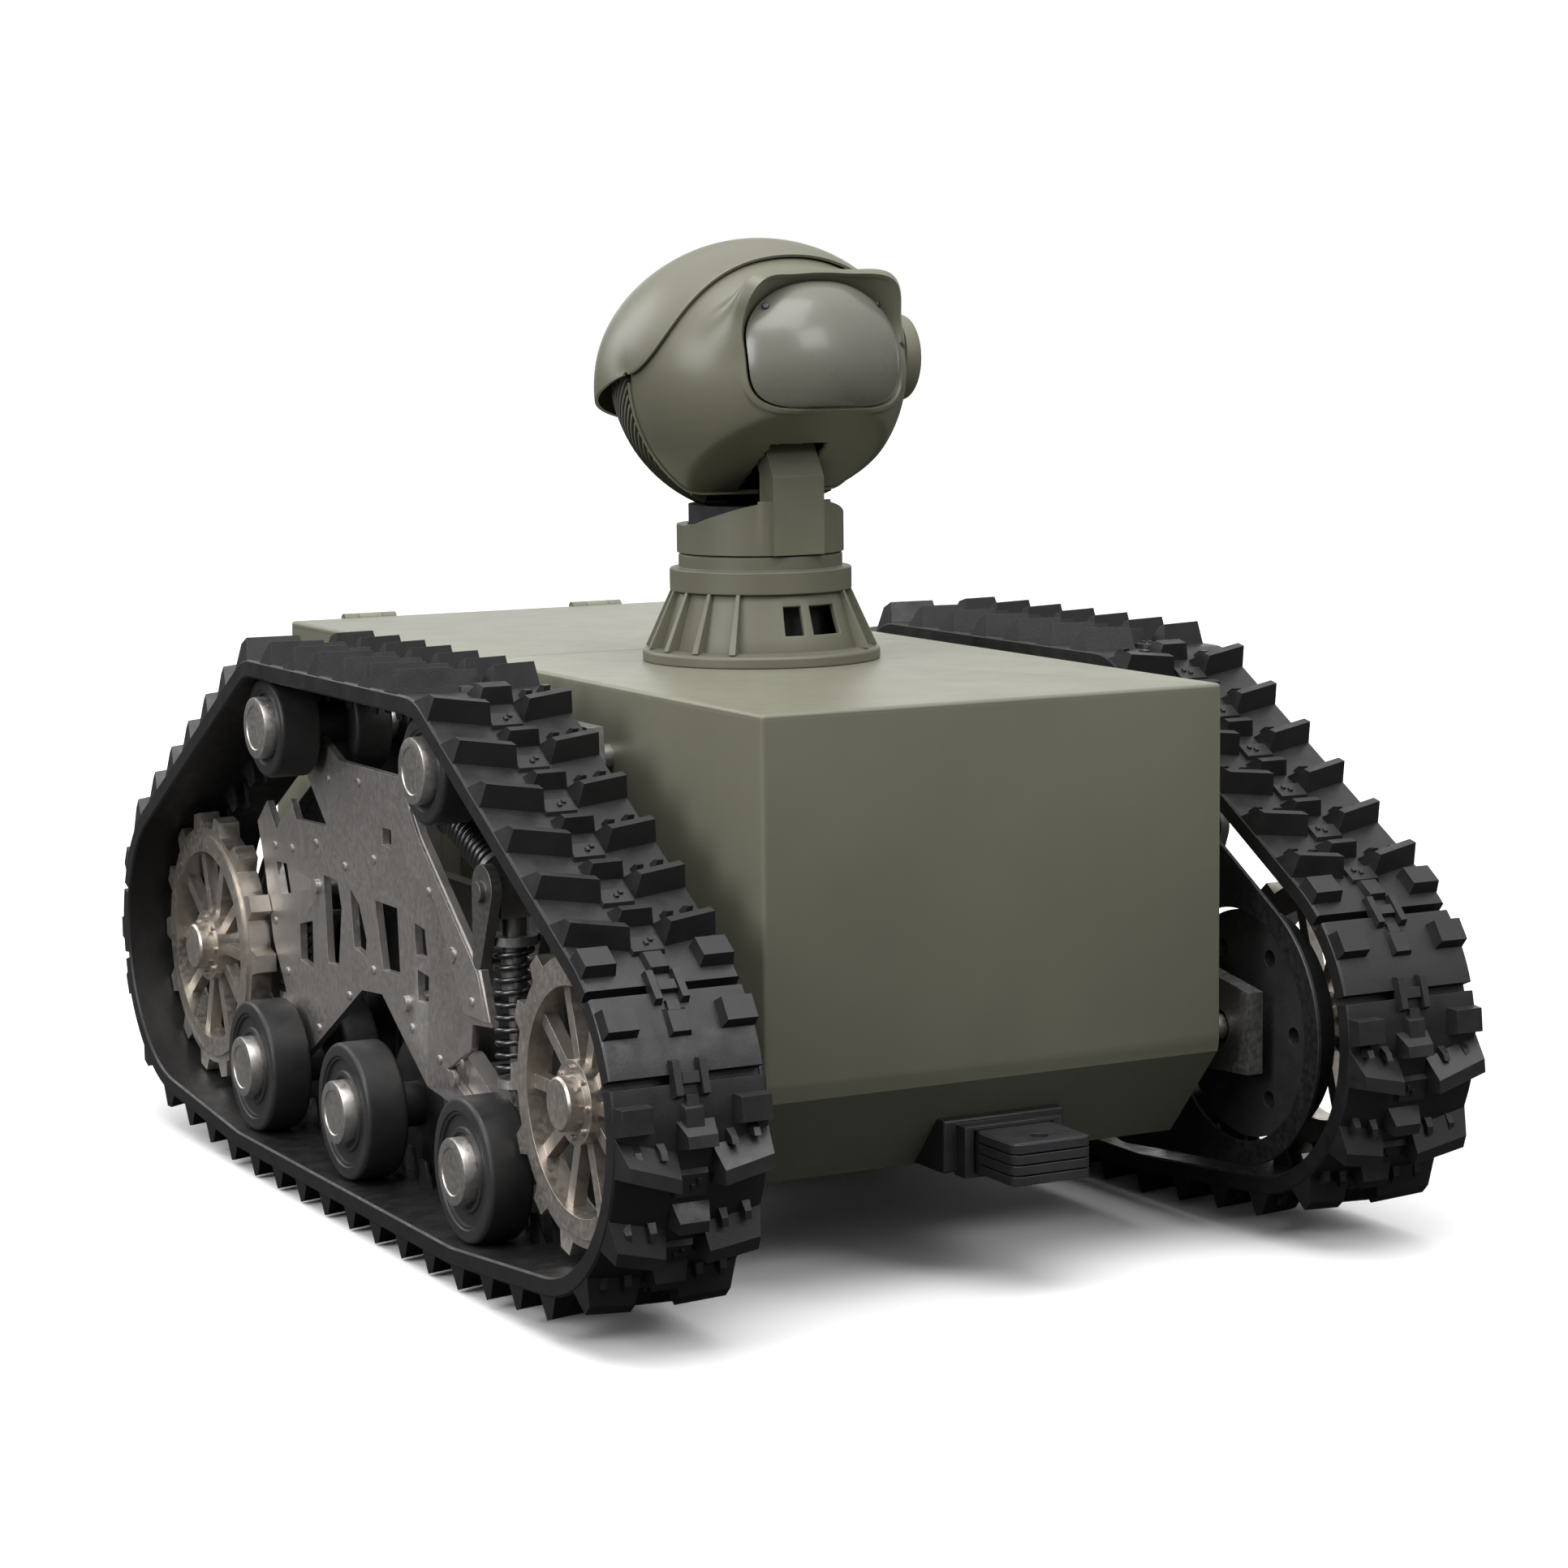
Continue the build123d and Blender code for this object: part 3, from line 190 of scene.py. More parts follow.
def paint(name, colour, rough, grain=900.0, mottling=0.05, wear=0.25):
    """Powder-coated metal: fine orange peel, slow mottling, lighter rubbed edges."""
    shader = Shader(name, colour, rough)
    slow = shader.ramp(shader.noise(9, 3), 0.35, 0.65)
    body = shader.mix(slow, tint(colour, 1 - mottling), tint(colour, 1 + mottling))
    specks = shader.ramp(shader.noise(2600, 1, 0.4), 0.62, 0.78, 0.0, 0.35)
    body = shader.mix(specks, body, tint(colour, 0.78))
    edges = shader.edges()
    rubbed = shader.ramp(shader.noise(60, 4), 0.35, 0.6, 0.3, wear * 2)
    worn = shader.maths("MULTIPLY", edges, rubbed)
    shader.colour(shader.mix(worn, body, tint(colour, 1.75)))
    shader.roughness(shader.ramp(shader.noise(35, 4), 0.3, 0.7, rough - 0.02, rough + 0.03))
    shader.bump(shader.noise(grain, 2, 0.5), 0.10, 0.0004)
    return shader.material


def rubber(name, colour, rough=0.62):
    """Moulded rubber: dusty mottling, fine grain, paler rubbed edges."""
    shader = Shader(name, colour, rough)
    slow = shader.ramp(shader.noise(22, 5), 0.35, 0.68)
    body = shader.mix(slow, tint(colour, 0.82), tint(colour, 1.22))
    dust = shader.ramp(shader.noise(160, 5, 0.7), 0.56, 0.72, 0.0, 0.30)
    body = shader.mix(dust, body, tint(colour, 1.9))
    rubbed = shader.ramp(shader.edges(0.52, 0.60), 0, 1, 0, 0.45)
    shader.colour(shader.mix(rubbed, body, tint(colour, 2.1)))
    shader.roughness(shader.ramp(shader.noise(70, 4), 0.3, 0.7, rough - 0.12, rough + 0.10))
    shader.bump(shader.noise(700, 3, 0.6), 0.18, 0.0006)
    return shader.material


def metal(name, colour, rough, scratches=0.25, stretch=(1, 1, 1), wear=0.5, clouding=0.12):
    """Machined or blasted metal: cloudy tone, fine scratches, bright edges, dark stains."""
    shader = Shader(name, colour, rough, metallic=0.92)
    cloud = shader.ramp(shader.noise(28, 5, 0.6), 0.32, 0.68)
    body = shader.mix(cloud, tint(colour, 1 - clouding), tint(colour, 1 + clouding))
    stains = shader.ramp(shader.noise(75, 6, 0.72), 0.60, 0.74, 0.0, clouding * 2.5)
    body = shader.mix(stains, body, tint(colour, 0.55))
    shader.colour(shader.mix(shader.ramp(shader.edges(), 0, 1, 0, wear), body, tint(colour, 1.9)))
    lines = shader.noise(260, 3, 0.5, stretch)
    shader.roughness(shader.ramp(lines, 0.3, 0.7, rough - 0.08, rough + scratches * 0.6))
    shader.bump(lines, scratches * 0.5, 0.0003)
    return shader.material


def gloss(name, colour, rough, coat):
    """Glossy moulded shell with a thin clear coat and faint handling marks."""
    shader = Shader(name, colour, rough, Coat_Weight=coat, Coat_Roughness=0.08)
    slow = shader.ramp(shader.noise(14, 4), 0.35, 0.65)
    shader.colour(shader.mix(slow, tint(colour, 0.93), tint(colour, 1.07)))
    shader.roughness(shader.ramp(shader.noise(60, 3, 0.5), 0.35, 0.7, rough - 0.02, rough + 0.03))
    shader.bump(shader.noise(500, 2), 0.04, 0.0003)
    return shader.material


OLIVE = (0.150, 0.148, 0.110)
HEAD_OLIVE = (0.134, 0.132, 0.095)
RUBBER = (0.0105, 0.0100, 0.0102)
MATERIALS = {
    "olive_paint": paint("olive_paint", OLIVE, 0.42),
    "olive_cast": paint("olive_cast", tint(HEAD_OLIVE, 0.86), 0.46, grain=1300, mottling=0.08),
    "head_paint": paint("head_paint", HEAD_OLIVE, 0.36, grain=1500, mottling=0.07, wear=0.2),
    "window_gloss": gloss("window_gloss", (0.138, 0.138, 0.114), 0.29, 0.15),
    "grille_plastic": paint("grille_plastic", (0.105, 0.103, 0.082), 0.5, grain=1100),
    "track_rubber": rubber("track_rubber", RUBBER, 0.44),
    "wheel_rubber": rubber("wheel_rubber", (0.021, 0.021, 0.021), 0.48),
    "sprocket_metal": metal("sprocket_metal", (0.56, 0.51, 0.455), 0.36),
    "plate_metal": metal("plate_metal", (0.54, 0.51, 0.49), 0.42, scratches=0.1, clouding=0.03),
    "frame_metal": metal("frame_metal", (0.22, 0.215, 0.21), 0.42),
    "spring_steel": metal("spring_steel", (0.10, 0.10, 0.10), 0.30, scratches=0.1),
    "steel": metal("steel", (0.50, 0.475, 0.45), 0.36, scratches=0.2),
    "black_plastic": rubber("black_plastic", (0.020, 0.020, 0.022), 0.45),
    "black_anodised": metal("black_anodised", (0.06, 0.06, 0.065), 0.45),
}
# near-black material that paints shade: the head's underside, the backing behind the louvres, the boot
# in the pan ring and the core inside the turret cone
SHADE_BLACK = rubber("shadow_rubber", (0.008, 0.008, 0.008), 0.8)
SLOT_OF = {entry["node"]: entry["material_slot"] for entry in frame["record"]["subparts"]}


# ---- mesh helpers ----
def bm_piece(name, bm, body, slot, node=None, smooth=35, material=None):
    """Make a bmesh a piece on a body, with its material, and say which CAD node it replaces."""
    bmesh.ops.recalc_face_normals(bm, faces=bm.faces)
    mesh = bpy.data.meshes.new(name)
    bm.to_mesh(mesh)
    bm.free()
    mesh.shade_smooth()
    mesh.set_sharp_from_angle(angle=radians(smooth))
    mesh.materials.append(material or MATERIALS[slot])
    obj = bpy.data.objects.new(name, mesh)
    bpy.context.scene.collection.objects.link(obj)
    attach(obj, body)
    if node:
        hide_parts(node)
    return obj


def bevel(obj, width, segments=2, angle=32):
    """Round the sharp edges of a piece."""
    modifier = obj.modifiers.new("bevel", "BEVEL")
    modifier.width = width
    modifier.segments = segments
    modifier.limit_method = "ANGLE"
    modifier.angle_limit = radians(angle)
    return obj


def wall(obj, thickness):
    """Give an open skin a wall that grows inwards."""
    modifier = obj.modifiers.new("wall", "SOLIDIFY")
    modifier.thickness = thickness
    modifier.offset = -1
    return obj


def soften(node, width, segments=2):
    """Replace a CAD node by a copy of its shape with rounded edges."""
    bm = bmesh.new()
    bm.from_mesh(NODES[node].data)
    bmesh.ops.remove_doubles(bm, verts=bm.verts, dist=2e-6)
    bmesh.ops.dissolve_limit(bm, angle_limit=radians(0.6), verts=bm.verts, edges=bm.edges)
    obj = bm_piece(f"{node}_soft", bm, NODES[node]["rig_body"], SLOT_OF[node], node)
    return bevel(obj, width, segments)


def grid_faces(bm, rows, wrap_rows=False, wrap_columns=False):
    """Quads between rows of vertices."""
    count = len(rows)
    for i in range(count if wrap_rows else count - 1):
        first, second = rows[i], rows[(i + 1) % count]
        columns = len(first)
        for j in range(columns if wrap_columns else columns - 1):
            k = (j + 1) % columns
            bm.faces.new((first[j], first[k], second[k], second[j]))


def cap_ends(bm, rows):
    """Close the first and the last row of a shape."""
    bm.faces.new(rows[0])
    bm.faces.new(rows[-1])


def cut_faces(bm, inside):
    """Delete the faces whose middle, taken from the head's centre, passes a test."""
    cut = [face for face in bm.faces if inside(face.calc_center_median() - HEAD_C)]
    bmesh.ops.delete(bm, geom=cut, context="FACES")


def turns(count):
    """Equal angles round a full turn."""
    return [2 * pi * i / count for i in range(count)]


def row_z(bm, r, z, segments):
    """Level circle of vertices about the turret's axis."""
    return [bm.verts.new((r * cos(turn), HEAD_C.y + r * sin(turn), z)) for turn in turns(segments)]


def lathe_x(bm, side, hub, profile, segments=72, open_bore=False):
    """Revolve an (x, r) profile in metres about the line parallel to X through hub."""
    rows = []
    for x, r in profile:
        rows.append([bm.verts.new((side * x, hub.y + r * cos(turn), hub.z + r * sin(turn)))
                     for turn in turns(segments)])
    grid_faces(bm, rows, wrap_rows=open_bore, wrap_columns=True)
    if not open_bore:
        cap_ends(bm, rows)


def in_mm(points):
    """Profile points given in millimetres, as metres."""
    return [(x * MM, r * MM) for x, r in points]


def dome(bm, place, axis, radius, height, segments=10):
    """Small rounded bolt head at place, standing along axis."""
    axis = Vector(axis).normalized()
    tilt = axis.to_track_quat("Z", "Y").to_matrix()
    rows = []
    for r, h in ((1.0, 0.0), (1.0, 0.6), (0.75, 0.95), (0.35, 1.0)):
        row = []
        for turn in turns(segments):
            point = Vector((radius * r * cos(turn), radius * r * sin(turn), height * h))
            row.append(bm.verts.new(Vector(place) + tilt @ point))
        rows.append(row)
    grid_faces(bm, rows, wrap_columns=True)
    cap_ends(bm, rows)


def hexahedron(bm, low, high):
    """Eight-cornered solid from two matching rings of four points."""
    bottom = [bm.verts.new(p) for p in low]
    top = [bm.verts.new(p) for p in high]
    bm.faces.new(bottom)
    bm.faces.new(top)
    for i in range(4):
        j = (i + 1) % 4
        bm.faces.new((bottom[i], bottom[j], top[j], top[i]))


# ---- belts ----
def loop_circles():
    """The circles that the belt's inner face wraps, in order: (y, z, radius)."""
    road_z = centre("left_rear_road_wheel").z
    order = (("left_front_road_wheel", ROAD_R), ("left_rear_road_wheel", ROAD_R),
             ("left_rear_sprocket", SPROCKET_BELT_R), ("left_rear_return_roller", ROLLER_R),
             ("left_front_return_roller", ROLLER_R), ("left_front_sprocket", SPROCKET_BELT_R))
    circles = []
    for node, radius in order:
        middle = centre(node)
        height = road_z if radius == ROAD_R else middle.z
        circles.append((middle.y, height, radius))
    return circles


def belt_runs(circles):
    """Arcs and straight runs of the belt's inner face."""
    normals = []
    for i, (y1, z1, r1) in enumerate(circles):
        y2, z2, r2 = circles[(i + 1) % len(circles)]
        normals.append(atan2(z2 - z1, y2 - y1) - acos((r1 - r2) / hypot(y2 - y1, z2 - z1)))
    runs = []
    for i, (y, z, r) in enumerate(circles):
        start, end = normals[i - 1], normals[i]
        while end < start:
            end += 2 * pi
        runs.append(("arc", r * (end - start), (y, z, r, start)))
        y2, z2, r2 = circles[(i + 1) % len(circles)]
        first = (y + r * cos(end), z + r * sin(end))
        last = (y2 + r2 * cos(end), z2 + r2 * sin(end))
        runs.append(("line", hypot(last[0] - first[0], last[1] - first[1]), (first, last, end)))
    return runs


CIRCLES = loop_circles()
RUNS = belt_runs(CIRCLES)
BELT_LENGTH = sum(length for _, length, _ in RUNS)
LINKS = round(BELT_LENGTH / LUG_PITCH)
PITCH = BELT_LENGTH / LINKS


def station(distance):
    """Point on the belt's inner face and its outward normal, in (y, z)."""
    distance %= BELT_LENGTH
    for kind, length, data in RUNS:
        if distance <= length:
            if kind == "arc":
                y, z, r, start = data
                angle = start + distance / r
                return y + r * cos(angle), z + r * sin(angle), angle
            first, last, angle = data
            t = distance / length
            return first[0] + t * (last[0] - first[0]), first[1] + t * (last[1] - first[1]), angle
        distance -= length
    return station(0.0)


def on_belt(side, x, distance, height):
    """Point at x across the belt, distance along it and height above its inner face."""
    y, z, angle = station(distance)
    return Vector((side * x, y + height * cos(angle), z + height * sin(angle)))


def arc_distance(circle_index, degrees_round):
    """Distance along the belt of an angle on one of the wrapped circles."""
    arc = 2 * circle_index
    before = sum(length for _, length, _ in RUNS[:arc])
    _, _, (_, _, r, start) = RUNS[arc]
    return before + r * ((radians(degrees_round) - start) % (2 * pi))


FRONT_SPROCKET = 5
REAR_SPROCKET = 2
JOINTS = [arc_distance(FRONT_SPROCKET, 135), arc_distance(FRONT_SPROCKET, 163.5),
          arc_distance(REAR_SPROCKET, 17), arc_distance(REAR_SPROCKET, -11)]
# a joint's slit: half its width, the band left under it, and the stretch without other stations
JOINT_HALF = 2.0 * MM
JOINT_FLOOR = 3 * MM
JOINT_SPACE = 3 * MM
# links this near to a joint are left out, and plain pads stand beside it instead
CLEAR_BEHIND = 33 * MM
CLEAR_AHEAD = 38 * MM
PAD_AHEAD = 19 * MM
PAD_BEHIND = 20 * MM
BAND_CHAMFER = 1.4 * MM
BAND_STEPS = 8
HORN_X = (257.5 * MM, 267.5 * MM)
HORN_HALF_T = 1.5 * MM
# the belt's edges, middle and lug heights in millimetres
OUTER = TRACK_OUT_X / MM
INNER = TRACK_IN_X / MM
MIDDLE = (OUTER + INNER) / 2
LUG_H, BLOCK_H, TAB_H, PAD_H = 16, 12, 3.2, 9
LUG_SINK = 1.5


def lug(bm, side, x0, x1, s0, s1, height, skew=0, back=12, front=4, end=3, rise=0.86):
    """Tread lug, in millimetres: steep leading face, long slope behind, skewed across the belt."""
    face = BELT_T / MM
    foot = face - LUG_SINK

    def ring(inset, s_low, s_high, h_low, h_high):
        """Four corners of the lug's foot or of its top."""
        corners = ((x0 + inset, s_low, h_low), (x1 - inset, s_low, h_low),
                   (x1 - inset, s_high, h_high), (x0 + inset, s_high, h_high))
        return [on_belt(side, x * MM, (s + skew * (x - x0) / (x1 - x0)) * MM, h * MM)
                for x, s, h in corners]

    hexahedron(bm, ring(0, s0 - back, s1 + front, foot, foot),
               ring(end, s0, s1, face + height * rise, face + height))


def near_joint(distance):
    """True for a link that would touch one of the belt's joints."""
    half = BELT_LENGTH / 2
    gaps = [(distance - joint + half) % BELT_LENGTH - half for joint in JOINTS]
    return any(-CLEAR_BEHIND < gap < CLEAR_AHEAD for gap in gaps)


def belt_carcass(bm, side):
    """Endless band with chamfered edges and a slit at each joint."""
    low_x, high_x, chamfer = TRACK_IN_X, TRACK_OUT_X, BAND_CHAMFER
    section = [(low_x + chamfer, 0), (high_x - chamfer, 0), (high_x, chamfer),
               (high_x, BELT_T - chamfer), (high_x - chamfer, BELT_T), (low_x + chamfer, BELT_T),
               (low_x, BELT_T - chamfer), (low_x, chamfer)]
    stations = [(i / BAND_STEPS * PITCH, True) for i in range(LINKS * BAND_STEPS)]
    for joint in JOINTS:
        stations = [entry for entry in stations if abs(entry[0] - joint) > JOINT_SPACE]
        for offset, full in ((-1.3, True), (-1.0, False), (1.0, False), (1.3, True)):
            stations.append((joint + offset * JOINT_HALF, full))
    rows = []
    for distance, full in sorted(stations):
        row = []
        for x, height in section:
            level = height if full else min(height, JOINT_FLOOR)
            row.append(bm.verts.new(on_belt(side, x, distance, level)))
        rows.append(row)
    grid_faces(bm, rows, wrap_rows=True, wrap_columns=True)


def tread_link(bm, side, distance):
    """Two skewed lugs, a middle block half a link behind and a low tab between them."""
    s = distance / MM
    lug(bm, side, OUTER - 42, OUTER - 0.5, s + 4, s + 11, LUG_H, skew=-11)
    lug(bm, side, INNER + 0.5, INNER + 39, s - 5, s + 2, LUG_H, skew=7)
    lug(bm, side, INNER + 37, OUTER - 41, s - 17, s - 11, BLOCK_H, back=8, front=3)
    lug(bm, side, INNER + 41, OUTER - 40, s + 5, s + 18, TAB_H, back=3, front=1.5, end=1, rise=1)
    # moulded nubs on the back slopes, then on the tab
    for x, ds in ((OUTER - 13, -9), (OUTER - 30, -8), (INNER + 12, -15), (INNER + 27, -12)):
        lug(bm, side, x - 3, x + 3, s + ds - 2, s + ds + 2, 8.5, back=4, front=1, end=0.8, rise=0.7)
    for x, ds in ((OUTER - 52, 12), (OUTER - 56, 9)):
        lug(bm, side, x - 1.8, x + 1.8, s + ds - 1.5, s + ds + 1.5, 4.6, back=0.6, front=0.6,
            end=0.5, rise=1)


def joint_link(bm, side, distance):
    """Plain stretch beside a joint: a square pad at each edge and a low rib."""
    s = distance / MM
    for x0, x1 in ((OUTER - 24, OUTER - 0.5), (INNER + 0.5, INNER + 24)):
        lug(bm, side, x0, x1, s - 6, s + 7, PAD_H, back=2, front=2, end=1.5, rise=1)
    lug(bm, side, INNER + 44, OUTER - 44, s - 3, s + 9, 5, back=4, front=2, end=2)


def joint_clasp(bm, side, joint):
    """Hinge ears and pin that bridge a joint at mid width."""
    s = joint / MM
    for x in (MIDDLE - 9, MIDDLE + 9):
        lug(bm, side, x - 3, x + 3, s - 9, s + 9, 5.5, back=2, front=2, end=0.6, rise=1)
    lug(bm, side, MIDDLE - 6, MIDDLE + 6, s - 3, s + 3, 4, back=1, front=1, end=0.2, rise=1)
    lug(bm, side, MIDDLE - 5, MIDDLE + 5, s + 9, s + 17, 3, back=1, front=3, end=1)


def guide_horn(bm, side, x, distance):
    """Thin upright fin inside the belt, smaller at its tip."""
    foot, tip = 1 * MM, 1 * MM - HORN_H
    low, high = [], []
    for s, dx in ((-10, -1), (10, -1), (10, 1), (-10, 1)):
        low.append(on_belt(side, x + dx * HORN_HALF_T, distance + s * MM, foot))
        high.append(on_belt(side, x + dx * HORN_HALF_T * 0.6, distance + (s * 0.45 + 3) * MM, tip))
    hexahedron(bm, low, high)


def make_belt(name, side):
    """Rubber belt of one side: band, lugs, guide horns and joints."""
    bm = bmesh.new()
    belt_carcass(bm, side)
    for i in range(LINKS):
        distance = i * PITCH
        if not near_joint(distance):
            tread_link(bm, side, distance)
        for x in HORN_X:
            guide_horn(bm, side, x, distance + PITCH / 2)
    for joint in JOINTS:
        joint_clasp(bm, side, joint)
        joint_link(bm, side, joint + PAD_AHEAD)
    for joint in (JOINTS[0], JOINTS[3]):
        joint_link(bm, side, joint - PAD_BEHIND)
    obj = bm_piece(f"{name}_belt_mesh", bm, "hull", "track_rubber", f"{name}_track_belt", smooth=30)
    bevel(obj, 0.7 * MM, 2, 28)


for side_name, side_sign in SIDES:
    make_belt(side_name, side_sign)


# ---- wheels ----
TYRE_OUT = (277.5 * MM, 308.5 * MM)
TYRE_IN = (222 * MM, 251 * MM)
TYRE_SHOULDER = 3.5 * MM
SPACER_R = 16 * MM
CAP_BACK_X = 303 * MM
CAP_FACE_X = 316 * MM
CAP_R = 22.5 * MM
CAP_BOLTS = 8
CAP_BOLT_R = 18.3 * MM
BORE_R = 9.2 * MM
# the rear sprocket's inner disc and ring, in millimetres
GUARD_X = TRACK_IN_X / MM + 2.5
GUARD_BORE_R = 15
SLEEVE_R = 22
DISC_R = 69
RING_R = (67, 78)
GUARD_TEETH = 14
GUARD_TIP_R = 85.5


def tyre_profile(low, high, radius, outer):
    """Rounded tyre section, with a recessed, stepped face on its outer side."""
    shoulder = TYRE_SHOULDER
    bends = [i / 5 * pi / 2 for i in range(1, 5)]
    points = [(low, BORE_R), (low, radius - shoulder)]
    for bend in bends:
        points.append((low + shoulder * (1 - cos(bend)), radius - shoulder * (1 - sin(bend))))
    points += [(low + shoulder, radius), (high - shoulder, radius)]
    for bend in bends:
        points.append((high - shoulder * (1 - sin(bend)), radius - shoulder * (1 - cos(bend))))
    points.append((high, radius - shoulder))
    if not outer:
        return points + [(high, BORE_R)]
    rim = radius / MM - 9
    steps = [(0, rim), (1.2, rim - 0.8), (1.2, rim - 2.5), (3, rim - 3.2)]
    if radius > ROLLER_R:
        steps += [(3, 29), (1.5, 28), (1.5, 25.5)]
    steps += [(3.5, 24.5), (3.5, BORE_R / MM)]
    return points + [(high - depth * MM, r * MM) for depth, r in steps]


def make_rear_guard(name, side):
    """Dark disc and toothed inner ring of the rear sprocket, on a sleeve over its fixed axle."""
    body = f"{name}_rear_sprocket"
    hub = centre(body)
    low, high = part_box(body)
    sleeve_x = min(abs(low.x), abs(high.x)) / MM + 1
    x = GUARD_X
    bm = bmesh.new()
    disc = [(x - 1, GUARD_BORE_R), (x - 1, DISC_R - 3), (x + 1, DISC_R), (x + 3, DISC_R), (x + 3, 34),
            (x + 9, SLEEVE_R), (sleeve_x, SLEEVE_R), (sleeve_x, GUARD_BORE_R)]
    lathe_x(bm, side, hub, in_mm(disc), 112, open_bore=True)
    bm_piece(f"{name}_rear_guard", bm, body, "wheel_rubber")
    bm = bmesh.new()
    ring = [(x, RING_R[0]), (x, RING_R[1]), (x + 6, RING_R[1]), (x + 6, RING_R[0])]
    lathe_x(bm, side, hub, in_mm(ring), 112, open_bore=True)
    tooth = ((RING_R[1] - 2, -8), (GUARD_TIP_R, -4.5), (GUARD_TIP_R, 4.5), (RING_R[1] - 2, 8))
    for turn in turns(GUARD_TEETH):
        out, along = Vector((0, cos(turn), sin(turn))), Vector((0, -sin(turn), cos(turn)))
        faces = []
        for face_x in (x + 0.5, x + 5.5):
            middle = Vector((side * face_x * MM, hub.y, hub.z))
            faces.append([middle + (out * r + along * w) * MM for r, w in tooth])
        hexahedron(bm, *faces)
    bevel(bm_piece(f"{name}_rear_guard_ring", bm, body, "frame_metal"), 0.8 * MM)


def make_wheel(name, side, label, radius):
    """Wheel or roller: one or two tyres with a spacer between them, and a bolted cap."""
    node = f"{name}_{label}"
    hub = centre(node)
    bm = bmesh.new()
    lathe_x(bm, side, hub, tyre_profile(*TYRE_OUT, radius, True), 96)
    if label != "front_road_wheel":
        lathe_x(bm, side, hub, tyre_profile(*TYRE_IN, radius, False), 72)
        start, end = TYRE_IN[1] - MM, TYRE_OUT[0] + MM
        lathe_x(bm, side, hub, [(start, BORE_R), (start, SPACER_R), (end, SPACER_R), (end, BORE_R)], 48)
    bm_piece(f"{node}_tyre", bm, node, "wheel_rubber", node)
    bm = bmesh.new()
    face_steps = ((1.2, 0), (0.3, 0.5), (0, 1.4), (0, 6.5), (0.7, 7.2))
    profile = [(CAP_BACK_X, BORE_R), (CAP_BACK_X, CAP_R)]
    profile += [(CAP_FACE_X - depth * MM, CAP_R - inset * MM) for depth, inset in face_steps]
    profile.append((CAP_FACE_X - 0.7 * MM, 2 * MM))
    lathe_x(bm, side, hub, profile, 64)
    for i in range(CAP_BOLTS):
        turn = 2 * pi * (i + 0.5) / CAP_BOLTS
        y, z = hub.y + CAP_BOLT_R * cos(turn), hub.z + CAP_BOLT_R * sin(turn)
        dome(bm, (side * (CAP_FACE_X - 1.0 * MM), y, z), (side, 0, 0), 1.6 * MM, 1.0 * MM)
    bm_piece(f"{node}_cap", bm, node, "steel")


for side_name, side_sign in SIDES:
    make_rear_guard(side_name, side_sign)
    for wheel_label in ("front_road_wheel", "middle_road_wheel", "rear_road_wheel"):
        make_wheel(side_name, side_sign, wheel_label, ROAD_R - WHEEL_GAP)
    for wheel_label in ("front_return_roller", "rear_return_roller"):
        make_wheel(side_name, side_sign, wheel_label, ROLLER_R - WHEEL_GAP)


# ---- head ----
HEAD_R = 105 * MM
HEAD_UP_R = 90 * MM
HEAD_DOWN_R = 101 * MM
CHIN_NORMAL = Vector((0, -0.541, -0.841))
CHIN_DISTANCE = 74.5 * MM
WINDOW_MID = Vector((10 * MM, 20 * MM))
WINDOW_HALF = Vector((66 * MM, 45 * MM))
HOOD_FRONT = radians(57)
HOOD_REAR = radians(199)
NECK_Z = 99 * MM
SPLIT_Y = -9 * MM
CHIN_BLEND = 60
WINDOW_SQUARE_TOP = 2.5
WINDOW_SQUARE_LOW = 4.2
WINDOW_NARROWING = 0.20
SCREW_TURNS = (143, 37)
# the visor over the window: angles from its top in degrees, heights in millimetres
BROW_CORNER = 47
BROW_SPREAD = 17
BROW_END = 105
BROW_H = 6
BROW_CORNER_H = 14
# the slot over the column, its way free behind the shell, and the keel's upper edge
SLOT_HALF = 22.5 * MM
SLOT_TOP = -49 * MM
COLUMN_HALF = 24 * MM
COLUMN_BACK = 12 * MM
KEEL_TOP = -87 * MM
HOOD_LIFT = 4 * MM
HOOD_FLARE = 12.5 * MM
HOOD_T = 2.6 * MM
LOUVRES = 25
LOUVRE_TOP = 66 * MM
LOUVRE_PITCH = 6.4 * MM
LOUVRE_LOW = -92 * MM
LOUVRE_EDGE_SLOPE = -0.344
BORDER_LOW = -88 * MM


def skin(direction, grow=0.0):
    """Point of the head's outer skin in a direction from its centre, moved out by grow."""
    d = direction.normalized()
    tall = HEAD_UP_R if d.z > 0 else HEAD_DOWN_R
    reach = 1 / sqrt((d.x / HEAD_R) ** 2 + (d.y / HEAD_R) ** 2 + (d.z / tall) ** 2)
    toward = d.dot(CHIN_NORMAL)
    if toward > 0:
        # the flattened chin, blended softly into the egg
        flat = CHIN_DISTANCE / toward
        reach = (reach ** -CHIN_BLEND + flat ** -CHIN_BLEND) ** (-1 / CHIN_BLEND)
    return d * (reach + grow)


def window_edge(turn, scale=1.0):
    """Direction of a point on the window's outline; scale moves it in or out across the skin."""
    c, s = cos(turn), sin(turn)
    power = WINDOW_SQUARE_TOP if s > 0 else WINDOW_SQUARE_LOW
    size = (abs(c) ** power + abs(s) ** power) ** (-1 / power)
    narrow = 1.0 - WINDOW_NARROWING * max(0.0, s) ** 2
    x = WINDOW_MID.x + WINDOW_HALF.x * size * c * scale * narrow
    z = WINDOW_MID.y + WINDOW_HALF.y * size * s * scale
    tall = HEAD_UP_R if z > 0 else HEAD_DOWN_R
    y = -HEAD_R * sqrt(max(0.02, 1 - (x / HEAD_R) ** 2 - (z / tall) ** 2))
    return Vector((x, y, z)).normalized()


